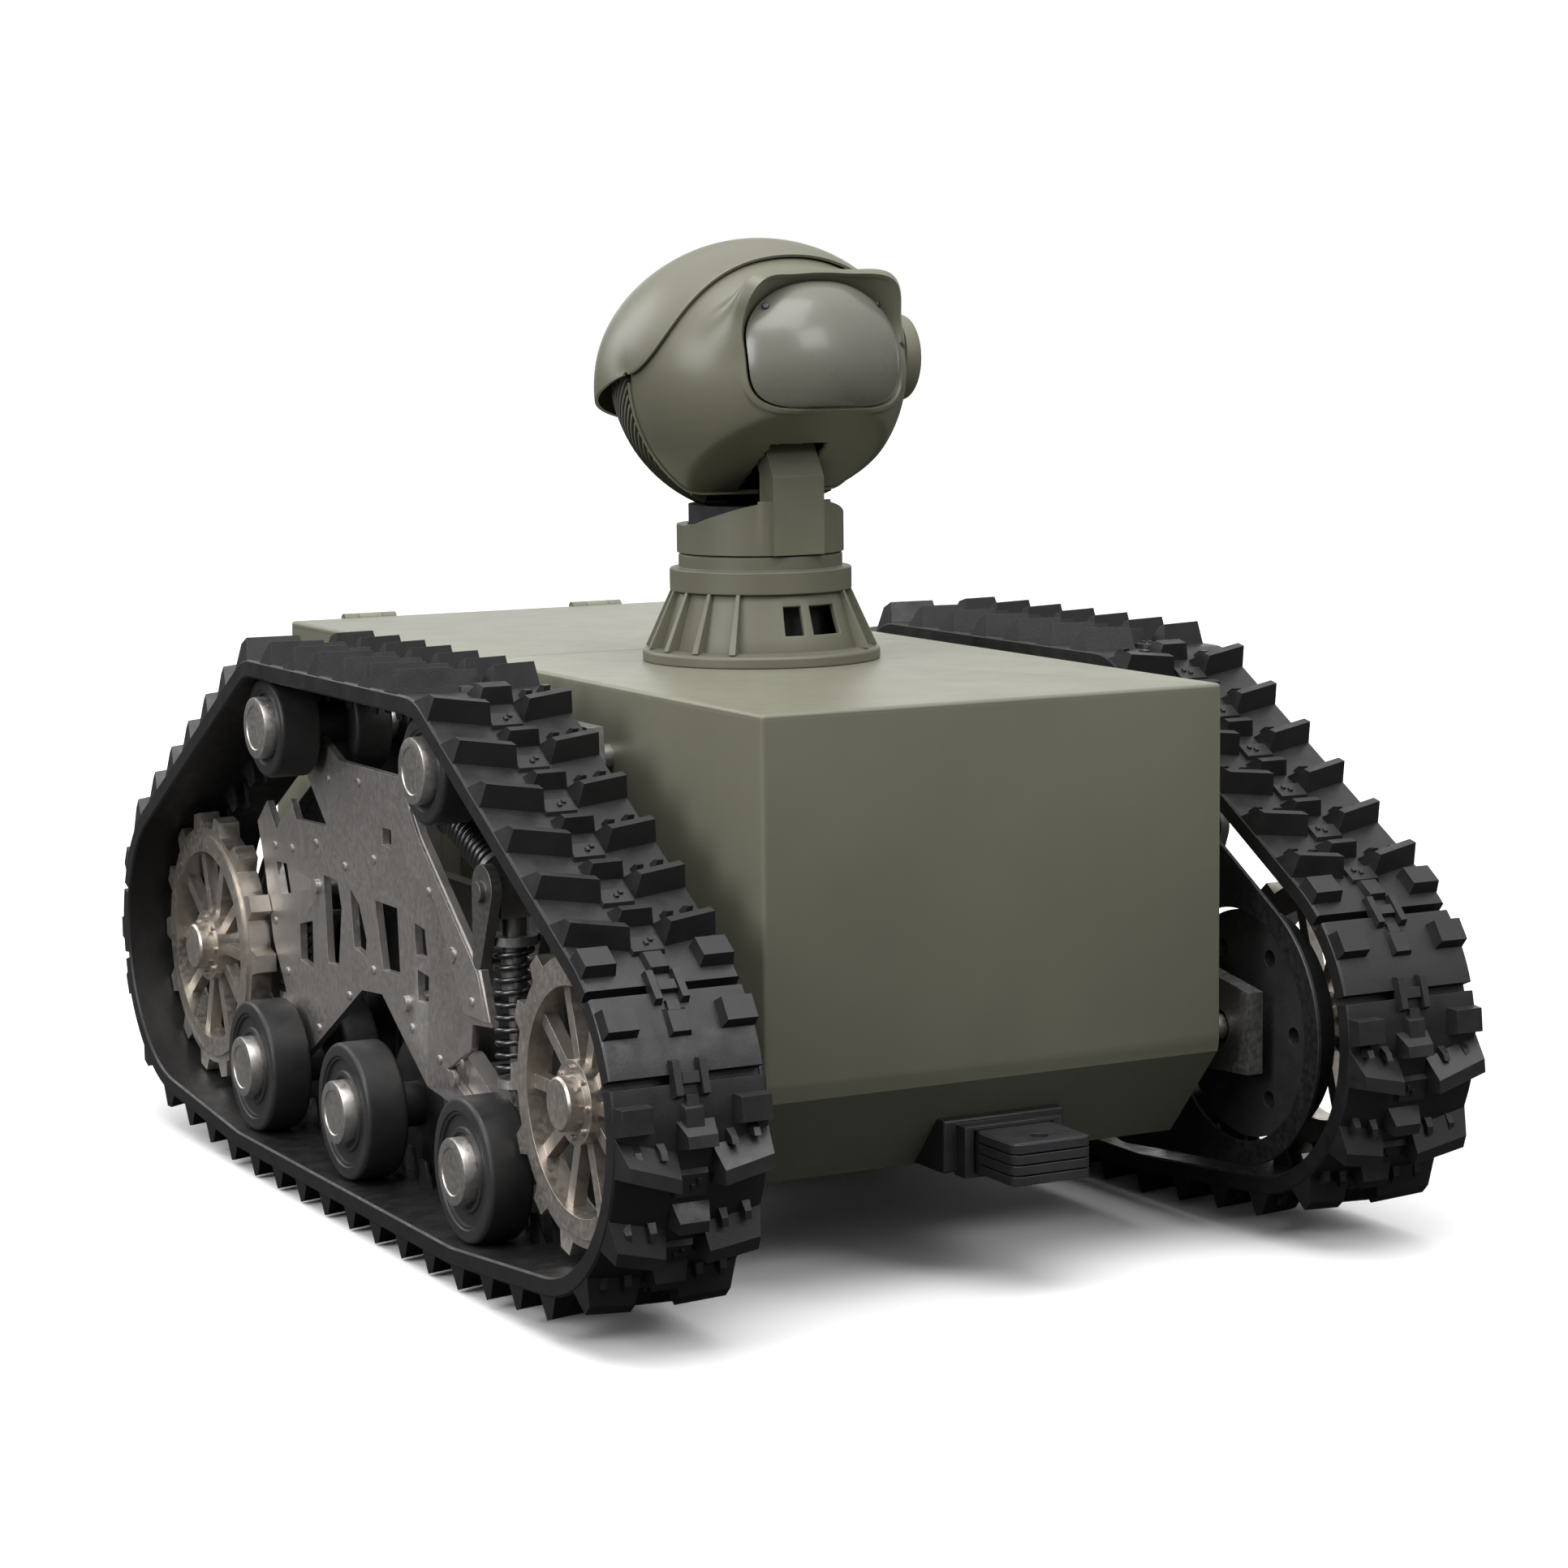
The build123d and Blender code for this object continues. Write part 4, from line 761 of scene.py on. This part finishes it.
def slerp(first, second, t):
    """Direction part of the way from one unit vector to another."""
    angle = acos(max(-1, min(1, first.dot(second))))
    if angle < 1e-6:
        return first.copy()
    return (first * sin((1 - t) * angle) + second * sin(t * angle)) / sin(angle)


def smooth(value, low, high):
    """Smooth step from 0 at low to 1 at high."""
    t = max(0.0, min(1.0, (value - low) / (high - low)))
    return t * t * (3 - 2 * t)


def brow(turn, distance):
    """How far the visor stands out at a distance from the window's edge, round its upper half."""
    degrees_round = (turn * 180 / pi) % 360
    if degrees_round > 200:
        lip = 1.6 * MM * (1 - smooth(distance, 3 * MM, 6 * MM))
        return lip * smooth(sin(turn), -0.3, -0.8)
    off_top = abs(degrees_round - 90)
    corner = exp(-((off_top - BROW_CORNER) / BROW_SPREAD) ** 2)
    height = (BROW_H + BROW_CORNER_H * corner) * smooth(BROW_END - off_top, 0, 45) * MM
    shelf = 4.5 * MM + 3 * MM * corner
    slope = 6 * MM + 26 * MM * smooth(off_top, 40, 85)
    return height * (1 - smooth(distance, shelf, shelf + slope))


def window_row(bm, count, scale, depth):
    """Row of vertices on the skin along the window's outline."""
    return [bm.verts.new(HEAD_C + skin(window_edge(turn, scale), depth)) for turn in turns(count)]


def cut_column_way(bm):
    """Open the faces under the head that would meet the column when the head tilts up."""
    cut_faces(bm, lambda c: abs(c.x) < COLUMN_HALF and c.y < COLUMN_BACK and c.z < 0)


def make_front_shell():
    """Front half of the head, from the window's rim back to the split line under the hood."""
    around, steps = 320, 96
    bm = bmesh.new()
    # rolled lip out of the window recess, then the shell
    rows = [window_row(bm, around, 0.985, -7 * MM), window_row(bm, around, 0.995, -2.5 * MM)]
    for k in range(steps + 1):
        t = (k / steps) ** 1.6
        row = []
        for turn in turns(around):
            inner = window_edge(turn, 1.0)
            outer = Vector((cos(turn), SPLIT_Y / HEAD_R, sin(turn))).normalized()
            d = slerp(inner, outer, t)
            from_window = HEAD_R * acos(max(-1, min(1, inner.dot(d))))
            row.append(bm.verts.new(HEAD_C + skin(d) + d * brow(turn, from_window)))
        rows.append(row)
    grid_faces(bm, rows, wrap_columns=True)
    cut_faces(bm, lambda c: c.z < -NECK_Z or (abs(c.x) < SLOT_HALF and c.z < SLOT_TOP and c.y < 0))
    wall(bm_piece("head_front_shell", bm, "head", "head_paint", "head_shell", smooth=50), 3 * MM)


def make_window():
    """Bulging glossy window set into the shell, with a fine shadow gap round it."""
    around, steps = 160, 28
    bm = bmesh.new()
    rows = []
    for k in range(steps + 1):
        t = k / steps
        bulge = 4.5 * MM * (1 - t ** 4) - 1.0 * MM * t ** 8
        rows.append(window_row(bm, around, max(0.001, 0.972 * t), bulge))
    rows.append(window_row(bm, around, 0.968, -5 * MM))
    grid_faces(bm, rows, wrap_columns=True)
    bm.faces.new(rows[0])
    bm_piece("window_dome", bm, "head", "window_gloss", "camera_window", smooth=50)
    bm = bmesh.new()
    for screw_turn in SCREW_TURNS:
        d = window_edge(radians(screw_turn), 0.90)
        dome(bm, HEAD_C + skin(d, 1.2 * MM), d, 2.6 * MM, 1.6 * MM, 16)
    bm_piece("window_screws", bm, "head", "black_anodised")


def roll_direction(beta, alpha):
    """Direction from the latitude beta towards +X and the angle alpha about X, 0 at the front."""
    return Vector((sin(beta), -cos(alpha) * cos(beta), sin(alpha) * cos(beta)))


def hood_front(beta):
    """Angle of the hood's front edge at a latitude."""
    return HOOD_FRONT * (1 - min(1.0, abs(sin(beta))) ** 3) ** (1 / 3)


def make_hood():
    """Sun shield over the top and the back, flaring outwards at its rear lip."""
    across, along = 120, 90
    inner, outer = [], []
    bm = bmesh.new()
    for i in range(across + 1):
        beta = radians(-89 + 178 * i / across)
        start = hood_front(beta)
        low, high = [], []
        for k in range(along + 1):
            u = k / along
            alpha = start + (HOOD_REAR - start) * u
            d = roll_direction(beta, alpha)
            d = (d + Vector((0, 1.05 * SPLIT_Y / HEAD_R * abs(sin(beta)) ** 4, 0))).normalized()
            rise = smooth(u, 0.35, 1.15) / smooth(1, 0.35, 1.15)
            lift = HOOD_LIFT + HOOD_FLARE * rise * cos(beta) ** 0.45
            edge = 1.2 * MM * max(0, 1 - u / 0.04)
            low.append(bm.verts.new(HEAD_C + skin(d, lift - HOOD_T + edge * 0.3)))
            high.append(bm.verts.new(HEAD_C + skin(d, lift - edge * 0.2)))
        inner.append(low)
        outer.append(high)
    grid_faces(bm, inner)
    grid_faces(bm, outer)
    for k in range(along):
        for rows in ((inner[0], outer[0]), (inner[-1], outer[-1])):
            bm.faces.new((rows[0][k], rows[0][k + 1], rows[1][k + 1], rows[1][k]))
    for i in range(across):
        for k in (0, along):
            bm.faces.new((inner[i][k], inner[i + 1][k], outer[i + 1][k], outer[i][k]))
    bm_piece("hood_shell", bm, "head", "head_paint", "head_hood", smooth=50)


def head_patch(bm, beta, alpha, grid, depth):
    """Patch of the head's skin within latitude beta, over the angles alpha about X, in degrees."""
    columns, steps = grid
    start, end = alpha
    rows = []
    for i in range(columns + 1):
        across = radians(-beta + 2 * beta * i / columns)
        row = []
        for k in range(steps + 1):
            down = radians(start + (end - start) * k / steps)
            row.append(bm.verts.new(HEAD_C + skin(roll_direction(across, down), depth)))
        rows.append(row)
    grid_faces(bm, rows)


def make_keel():
    """Underside of the head, from the last louvres down into the boot, in near-black painted shade."""
    bm = bmesh.new()
    head_patch(bm, beta=34, alpha=(236, 267), grid=(60, 30), depth=-1.5 * MM)
    cut_column_way(bm)
    cut_faces(bm, lambda c: c.z > KEEL_TOP)
    wall(bm_piece("head_keel", bm, "head", "grille_plastic", smooth=50, material=SHADE_BLACK), 2 * MM)


def make_rear_shell():
    """Skin under the hood at the back, and the near-black backing behind the louvres: painted shade
    between them.
    """
    bm = bmesh.new()
    head_patch(bm, beta=88, alpha=(84, 202), grid=(72, 60), depth=-0.6 * MM)
    wall(bm_piece("head_rear_shell", bm, "head", "head_paint", smooth=50), 2.5 * MM)
    bm = bmesh.new()
    head_patch(bm, beta=86, alpha=(190, 276), grid=(60, 40), depth=-9 * MM)
    cut_column_way(bm)
    wall(bm_piece("grille_backing", bm, "head", "grille_plastic", smooth=50, material=SHADE_BLACK), 2 * MM)


def skin_bar(bm, points, out_dirs, across_dirs, width, depth, lift):
    """Bar of rectangular section along points of the skin."""
    rows = []
    for p, out, across in zip(points, out_dirs, across_dirs):
        row = []
        for a, h in ((-0.5, lift - depth), (0.5, lift - depth), (0.5, lift), (-0.5, lift)):
            row.append(bm.verts.new(p + across * width * a + out * h))
        rows.append(row)
    grid_faces(bm, rows, wrap_columns=True)
    cap_ends(bm, rows)


def louvre(level):
    """Skin points of one louvre, where y + z equals level, from the -X border round the back to +X."""
    a, b = 1 / HEAD_R ** 2, 1 / HEAD_DOWN_R ** 2
    root = (b * level) ** 2 - (a + b) * (b * level ** 2 - 1)
    rearmost = (b * level + sqrt(root)) / (a + b)
    start = SPLIT_Y + 6.5 * MM
    runs, run = [], []
    steps = 120
    for i in range(steps + 1):
        turn = pi * i / steps
        y = start + (rearmost - start) * sin(turn)
        z = level - y
        x = HEAD_R * sqrt(max(0.0, 1 - y * y * a - z * z * b)) * (-1 if i < steps / 2 else 1)
        if z <= LOUVRE_EDGE_SLOPE * y and z > LOUVRE_LOW:
            run.append(Vector((x, y, z)))
        else:
            runs.append(run)
            run = []
    runs.append(run)
    return [points for points in runs if len(points) > 2]


def make_grille():
    """Louvres on the lower back, slanting down to the rear, and the strip along their border."""
    bm = bmesh.new()
    across = Vector((0, 0.707, 0.707))
    for n in range(LOUVRES):
        for points in louvre(LOUVRE_TOP - LOUVRE_PITCH * n):
            places = [HEAD_C + skin(p, 0.3 * MM) for p in points]
            outs = [p.normalized() for p in points]
            skin_bar(bm, places, outs, [across] * len(points), 2.7 * MM, 7 * MM, 0.0)
    bm_piece("louvres", bm, "head", "grille_plastic", "rear_grille", smooth=40)
    bm = bmesh.new()
    for first in (183, 273):
        places, outs = [], []
        for i in range(61):
            turn = radians(first + 84 * i / 60)
            d = Vector((cos(turn), (SPLIT_Y + 3 * MM) / HEAD_R, sin(turn))).normalized()
            if skin(d).z > BORDER_LOW:
                places.append(HEAD_C + skin(d))
                outs.append(d)
        skin_bar(bm, places, outs, [Vector((0, 1, 0))] * len(places), 3.6 * MM, 3 * MM, 0.6 * MM)
    bm_piece("louvre_border", bm, "head", "head_paint", smooth=40)


def make_side_pod():
    """Round cover over the tilt bearing on the head's left."""
    low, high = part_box("side_pod")
    face = high.x / MM
    radius = (high.z - low.z) / 2 / MM
    profile = [(88, 4), (88, radius - 3), (102, radius - 2), (103, radius), (face - 7, radius),
               (face - 3, radius - 1.5), (face - 1, radius - 5), (face - 0.4, radius - 9),
               (face, radius - 16), (face, 2)]
    bm = bmesh.new()
    lathe_x(bm, 1, centre("side_pod"), in_mm(profile), 64)
    bm_piece("pod_cover", bm, "head", "head_paint", "side_pod", smooth=40)


# ---- turret base and hull ----
FINS = 18
FIN_START = -132
OPEN_FINS = (1, 2, 3)
CONE_LEVELS = (9, 20.5, 21.5, 31, 40.5, 41.5, 51)
CONE_FOOT_R = 74
CONE_TAPER = 13 / 40
CONE_WINDOW_Z = (22, 42)
# (middle, half width) in degrees about Z
CONE_WINDOWS = ((-97, 5.8), (-75, 11.2))
# (radius, height) in millimetres
FLANGE = ((66, 0.3), (84.2, 0), (85, 0.8), (85, 6.6), (84, 8.2), (79, 9.8), (77, 10), (66, 10))
COLLAR = ((57, 50), (64.4, 50), (65, 50.6), (65, 65.2), (64.4, 66), (58.5, 66.2), (58.5, 75.2),
          (57.5, 76.2), (46, 76.2), (46, 60))
# (radius, drop below the head's centre) in millimetres
BOOT = ((51, 122), (51, 93), (47, 95), (40, 98.5), (30, 102.5), (1, 107))
SPONSON_X = (171, 190)
SPONSON_Y = (110, 447)
SPONSON_Z = (200, 322)
FAIRING_X = (205.5, 208.5)
FAIRING_EDGE = 9 * MM
FAIRING_OPENING = 80 * MM
PLATE_X = 271.5
PLATE_STEP = 2
# (y, z) in millimetres
BOLT_PLACES = ((-140, 178), (-112, 206), (-70, 243), (-36, 300), (60, 304), (120, 300), (-118, 132),
               (-78, 128), (-30, 142), (40, 172), (88, 146), (150, 112), (196, 84), (212, 145),
               (236, 180), (232, 238), (90, 240), (146, 250), (34, 252), (196, 240))


def make_turret_base():
    """Flanged cone with fins, two windows at the front, a collar and a bearing ring."""
    base_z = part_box("turret_base")[0].z
    bm = bmesh.new()
    for profile in (FLANGE, COLLAR):
        rows = [row_z(bm, r * MM, base_z + height * MM, 120) for r, height in profile]
        grid_faces(bm, rows, wrap_rows=True, wrap_columns=True)
    for n in range(FINS):
        if n in OPEN_FINS:
            continue
        turn = radians(FIN_START + 360 / FINS * n)
        out, along = Vector((cos(turn), sin(turn), 0)), Vector((-sin(turn), cos(turn), 0))
        rings = []
        for height, r0, r1, half in ((9.5, 62, 83, 2.6), (51, 58, 64.3, 1.4)):
            foot = Vector((0, HEAD_C.y, base_z + height * MM))
            corners = ((r0, -half), (r1, -half), (r1, half), (r0, half))
            rings.append([foot + out * r * MM + along * w * MM for r, w in corners])
        hexahedron(bm, *rings)
    obj = bm_piece("turret_rings", bm, "hull", "olive_cast", "turret_base", smooth=30)
    bevel(obj, 0.8 * MM, 2, 30)

    bm = bmesh.new()
    rows = []
    for height in CONE_LEVELS:
        r = CONE_FOOT_R - CONE_TAPER * (height - CONE_LEVELS[0])
        rows.append(row_z(bm, r * MM, base_z + height * MM, 240))
    grid_faces(bm, rows, wrap_columns=True)

    def in_window(c):
        """True for a face of the cone inside one of its windows."""
        angle = atan2(c.y, c.x) * 180 / pi
        height = (c.z + HEAD_C.z - base_z) / MM
        low, high = CONE_WINDOW_Z
        return low < height < high and any(abs(angle - mid) < half for mid, half in CONE_WINDOWS)

    cut_faces(bm, in_window)
    obj = wall(bm_piece("turret_cone", bm, "hull", "olive_cast", smooth=40), 4 * MM)
    bevel(obj, 0.6 * MM, 2, 40)
    # near-black core inside the cone: painted shade seen through its windows
    bm = bmesh.new()
    rows = [row_z(bm, 50 * MM, base_z + height * MM, 64) for height in (11, 47)]
    grid_faces(bm, rows, wrap_columns=True)
    cap_ends(bm, rows)
    bm_piece("turret_core", bm, "hull", "olive_cast", material=SHADE_BLACK)


def make_neck():
    """Near-black boot that stands in the pan ring and follows the underside of the head: painted shade
    inside the ring.
    """
    bm = bmesh.new()
    rows = [row_z(bm, r * MM, HEAD_C.z - drop * MM, 72) for r, drop in BOOT]
    grid_faces(bm, rows, wrap_columns=True)
    cap_ends(bm, rows)
    bm_piece("neck_boot", bm, "pan", "black_plastic", material=SHADE_BLACK)


def make_plate_bolts(name, side):
    """Bolt heads on the side plate, and on its thicker part at the upper front."""
    bm = bmesh.new()
    for y, z in BOLT_PLACES:
        x = PLATE_X + (PLATE_STEP if z > 165 and y < -40 else 0)
        dome(bm, (side * x * MM, y * MM, z * MM), (side, 0, 0), 3.2 * MM, 1.4 * MM, 16)
    bm_piece(f"{name}_plate_bolts", bm, "hull", "steel")


def make_sponson(name, side):
    """Shallow painted box on the hull's flank, behind the rear sprocket and roller."""
    bm = bmesh.new()
    (y0, y1), (z0, z1) = SPONSON_Y, SPONSON_Z
    outline = ((y0, z0), (y1, z0), (y1, z1), (y0, z1))
    rings = [[Vector((side * x * MM, y * MM, z * MM)) for y, z in outline] for x in SPONSON_X]
    hexahedron(bm, *rings)
    bevel(bm_piece(f"{name}_sponson", bm, "hull", "olive_paint"), 3 * MM, 3)


def make_fairing(name, side, end):
    """Thin wall inside a belt loop round a sprocket, open round the sprocket's own disc; its near-black
    colour is painted shade behind the sprocket's spokes.
    """
    hub = centre(f"{name}_{end}_sprocket")
    circles = [(hub, SPROCKET_BELT_R), (centre(f"{name}_{end}_return_roller"), ROLLER_R),
               (centre(f"{name}_{end}_road_wheel"), ROAD_R)]
    outer, inner = [], []
    for turn in turns(180):
        normal = Vector((0, cos(turn), sin(turn)))
        middle, radius = max(circles, key=lambda circle: circle[0].dot(normal) + circle[1])
        outer.append(middle + normal * (radius - FAIRING_EDGE))
        inner.append(hub + normal * FAIRING_OPENING)
    bm = bmesh.new()
    rows = []
    near, far = FAIRING_X
    for x, outline in ((near, outer), (far, outer), (far, inner), (near, inner)):
        rows.append([bm.verts.new(Vector((side * x * MM, point.y, point.z))) for point in outline])
    grid_faces(bm, rows, wrap_rows=True, wrap_columns=True)
    bevel(bm_piece(f"{name}_{end}_fairing", bm, "hull", "black_anodised", smooth=30), 0.6 * MM)


make_turret_base()
make_neck()
for side_name, side_sign in SIDES:
    make_sponson(side_name, side_sign)
    for end_name in ("front", "rear"):
        make_fairing(side_name, side_sign, end_name)
    make_plate_bolts(side_name, side_sign)
make_front_shell()
make_window()
make_hood()
make_rear_shell()
make_keel()
make_grille()
make_side_pod()

# ---- CAD shapes with rounded edges ----
for cad_node, radius in (("hull_tub", 1.2), ("coupler_bracket", 1.0), ("coupler_tongue", 1.4),
                         ("pan_yoke", 0.8)):
    soften(cad_node, radius * MM)
for side_name, _ in SIDES:
    for part, radius in (("side_plate", 0.8), ("front_sprocket", 0.8), ("rear_sprocket", 0.8),
                         ("clevis", 1.5), ("swing_arm", 1.2), ("track_frame", 0.8)):
        soften(f"{side_name}_{part}", radius * MM)

# the top of the column stands a little lower than in the CAD
COLUMN_TOP = HEAD_C.z - 66 * MM
COLUMN_FRONT = HEAD_C.y - 45 * MM
COLUMN_DROP = 8 * MM
column = bpy.data.objects["pan_yoke_soft"]
for vertex in column.data.vertices:
    if vertex.co.z > COLUMN_TOP and vertex.co.y < COLUMN_FRONT:
        vertex.co.z -= COLUMN_DROP

# the guard disc behind each front sprocket is dark
DISC_X = (213.5 * MM, 232.5 * MM)
DISC_HUB_R = 18 * MM
for side_name, _ in SIDES:
    guard = bpy.data.objects[f"{side_name}_front_sprocket_soft"]
    hub = centre(f"{side_name}_front_sprocket")
    guard.data.materials.append(MATERIALS["wheel_rubber"])
    for polygon in guard.data.polygons:
        middle = polygon.center
        from_hub = hypot(middle.y - hub.y, middle.z - hub.z)
        if DISC_X[0] < abs(middle.x) < DISC_X[1] and from_hub > DISC_HUB_R:
            polygon.material_index = 1

# every other CAD node keeps its shape and takes its material
for cad_node, cad_object in NODES.items():
    cad_object.data.materials.clear()
    cad_object.data.materials.append(MATERIALS[SLOT_OF[cad_node]])


# ---- studio ----
FLOOR_HALF = 30.0
FLOOR_ALBEDO = 0.03
LIGHTS = (
    # name, place, target, size, power
    ("key", (-0.5, -1.0, 3.4), (0, 0, 0.3), (3.0, 2.4), 94),
    ("front_box", (0.9, -3.2, 2.6), (0, -0.2, 0.4), (1.6, 1.2), 30),
    ("side_box", (-3.2, -0.9, 1.7), (-0.2, 0, 0.3), (1.6, 1.6), 56),
    ("rim", (-1.6, 2.6, 2.0), (0, 0, 0.5), (1.6, 1.6), 26),
    ("back_box", (1.7, 3.1, 0.95), (0, 0.1, 0.38), (2.6, 0.9), 10),
)


def make_floor():
    """White sweep: white to the camera, but it throws back less light than real paper."""
    shader = Shader("floor_paper", (0.93, 0.93, 0.93), 0.9)
    tone = shader.mix(shader.ramp(shader.noise(3, 2), 0.3, 0.7), (0.92, 0.92, 0.92), (0.94, 0.94, 0.94))
    seen = shader.node("ShaderNodeLightPath").outputs["Is Camera Ray"]
    shader.colour(shader.mix(seen, (FLOOR_ALBEDO,) * 3, tone))
    shader.bsdf.inputs["Emission Color"].default_value = (1, 1, 1, 1)
    distance = shader.node("ShaderNodeVectorMath", operation="LENGTH")
    shader.link(shader.coords, distance.inputs[0])
    far = shader.ramp(distance.outputs["Value"], 0.9, 3.0, 0.0, 0.35)
    glow = shader.maths("MULTIPLY", seen, far)
    shader.link(glow, shader.bsdf.inputs["Emission Strength"])
    mesh = bpy.data.meshes.new("floor")
    size = FLOOR_HALF
    corners = [(-size, -size, 0), (size, -size, 0), (size, size, 0), (-size, size, 0)]
    mesh.from_pydata(corners, [], [(0, 1, 2, 3)])
    mesh.materials.append(shader.material)
    floor = bpy.data.objects.new("floor", mesh)
    bpy.context.scene.collection.objects.link(floor)


def area_light(name, place, target, size, power):
    """Soft box that lights the object but never shows in the picture."""
    data = bpy.data.lights.new(name, "AREA")
    data.shape = "RECTANGLE"
    data.size, data.size_y = size
    data.energy = power
    light = bpy.data.objects.new(name, data)
    light.location = place
    light.visible_camera = False
    light.rotation_euler = (Vector(target) - Vector(place)).to_track_quat("-Z", "Y").to_euler()
    bpy.context.scene.collection.objects.link(light)


def make_world(low, high):
    """White backdrop; the light it gives grows from the horizon to the zenith."""
    world = bpy.data.worlds.new("studio")
    world.use_nodes = True
    tree = world.node_tree
    background = tree.nodes["Background"]
    kinds = ("TexCoord", "SeparateXYZ", "MapRange", "LightPath", "Mix")
    coords, split, grade, path, choose = [tree.nodes.new(f"ShaderNode{kind}") for kind in kinds]
    tree.links.new(coords.outputs["Generated"], split.inputs["Vector"])
    tree.links.new(split.outputs["Z"], grade.inputs["Value"])
    grade.inputs["From Min"].default_value = -0.05
    grade.inputs["To Min"].default_value = low
    grade.inputs["To Max"].default_value = high
    tree.links.new(path.outputs["Is Camera Ray"], choose.inputs[0])
    tree.links.new(grade.outputs["Result"], choose.inputs[2])
    choose.inputs[3].default_value = 1.0
    background.inputs["Color"].default_value = (1, 1, 1, 1)
    tree.links.new(choose.outputs[0], background.inputs["Strength"])
    bpy.context.scene.world = world


def make_camera():
    """Camera in front of the vehicle's right shoulder, a little above the deck."""
    place = Vector((-1.2744, -2.4813, 0.6513))
    azimuth, elevation, roll = radians(-27.879), radians(7.378), radians(-0.617)
    back = Vector((sin(azimuth) * cos(elevation), -cos(azimuth) * cos(elevation), sin(elevation)))
    right = Vector((cos(azimuth), sin(azimuth), 0))
    up = back.cross(right)
    right, up = right * cos(roll) + up * sin(roll), up * cos(roll) - right * sin(roll)
    data = bpy.data.cameras.new("camera")
    data.sensor_width = 36
    data.lens = 88.62
    data.clip_start, data.clip_end = 0.05, 100
    camera = bpy.data.objects.new("camera", data)
    camera.matrix_world = Matrix.Translation(place) @ Matrix((right, up, back)).transposed().to_4x4()
    bpy.context.scene.collection.objects.link(camera)
    bpy.context.scene.camera = camera


make_floor()
make_world(low=0.05, high=1.35)
make_camera()
for light_values in LIGHTS:
    area_light(*light_values)
bpy.context.scene.view_settings.view_transform = "Standard"
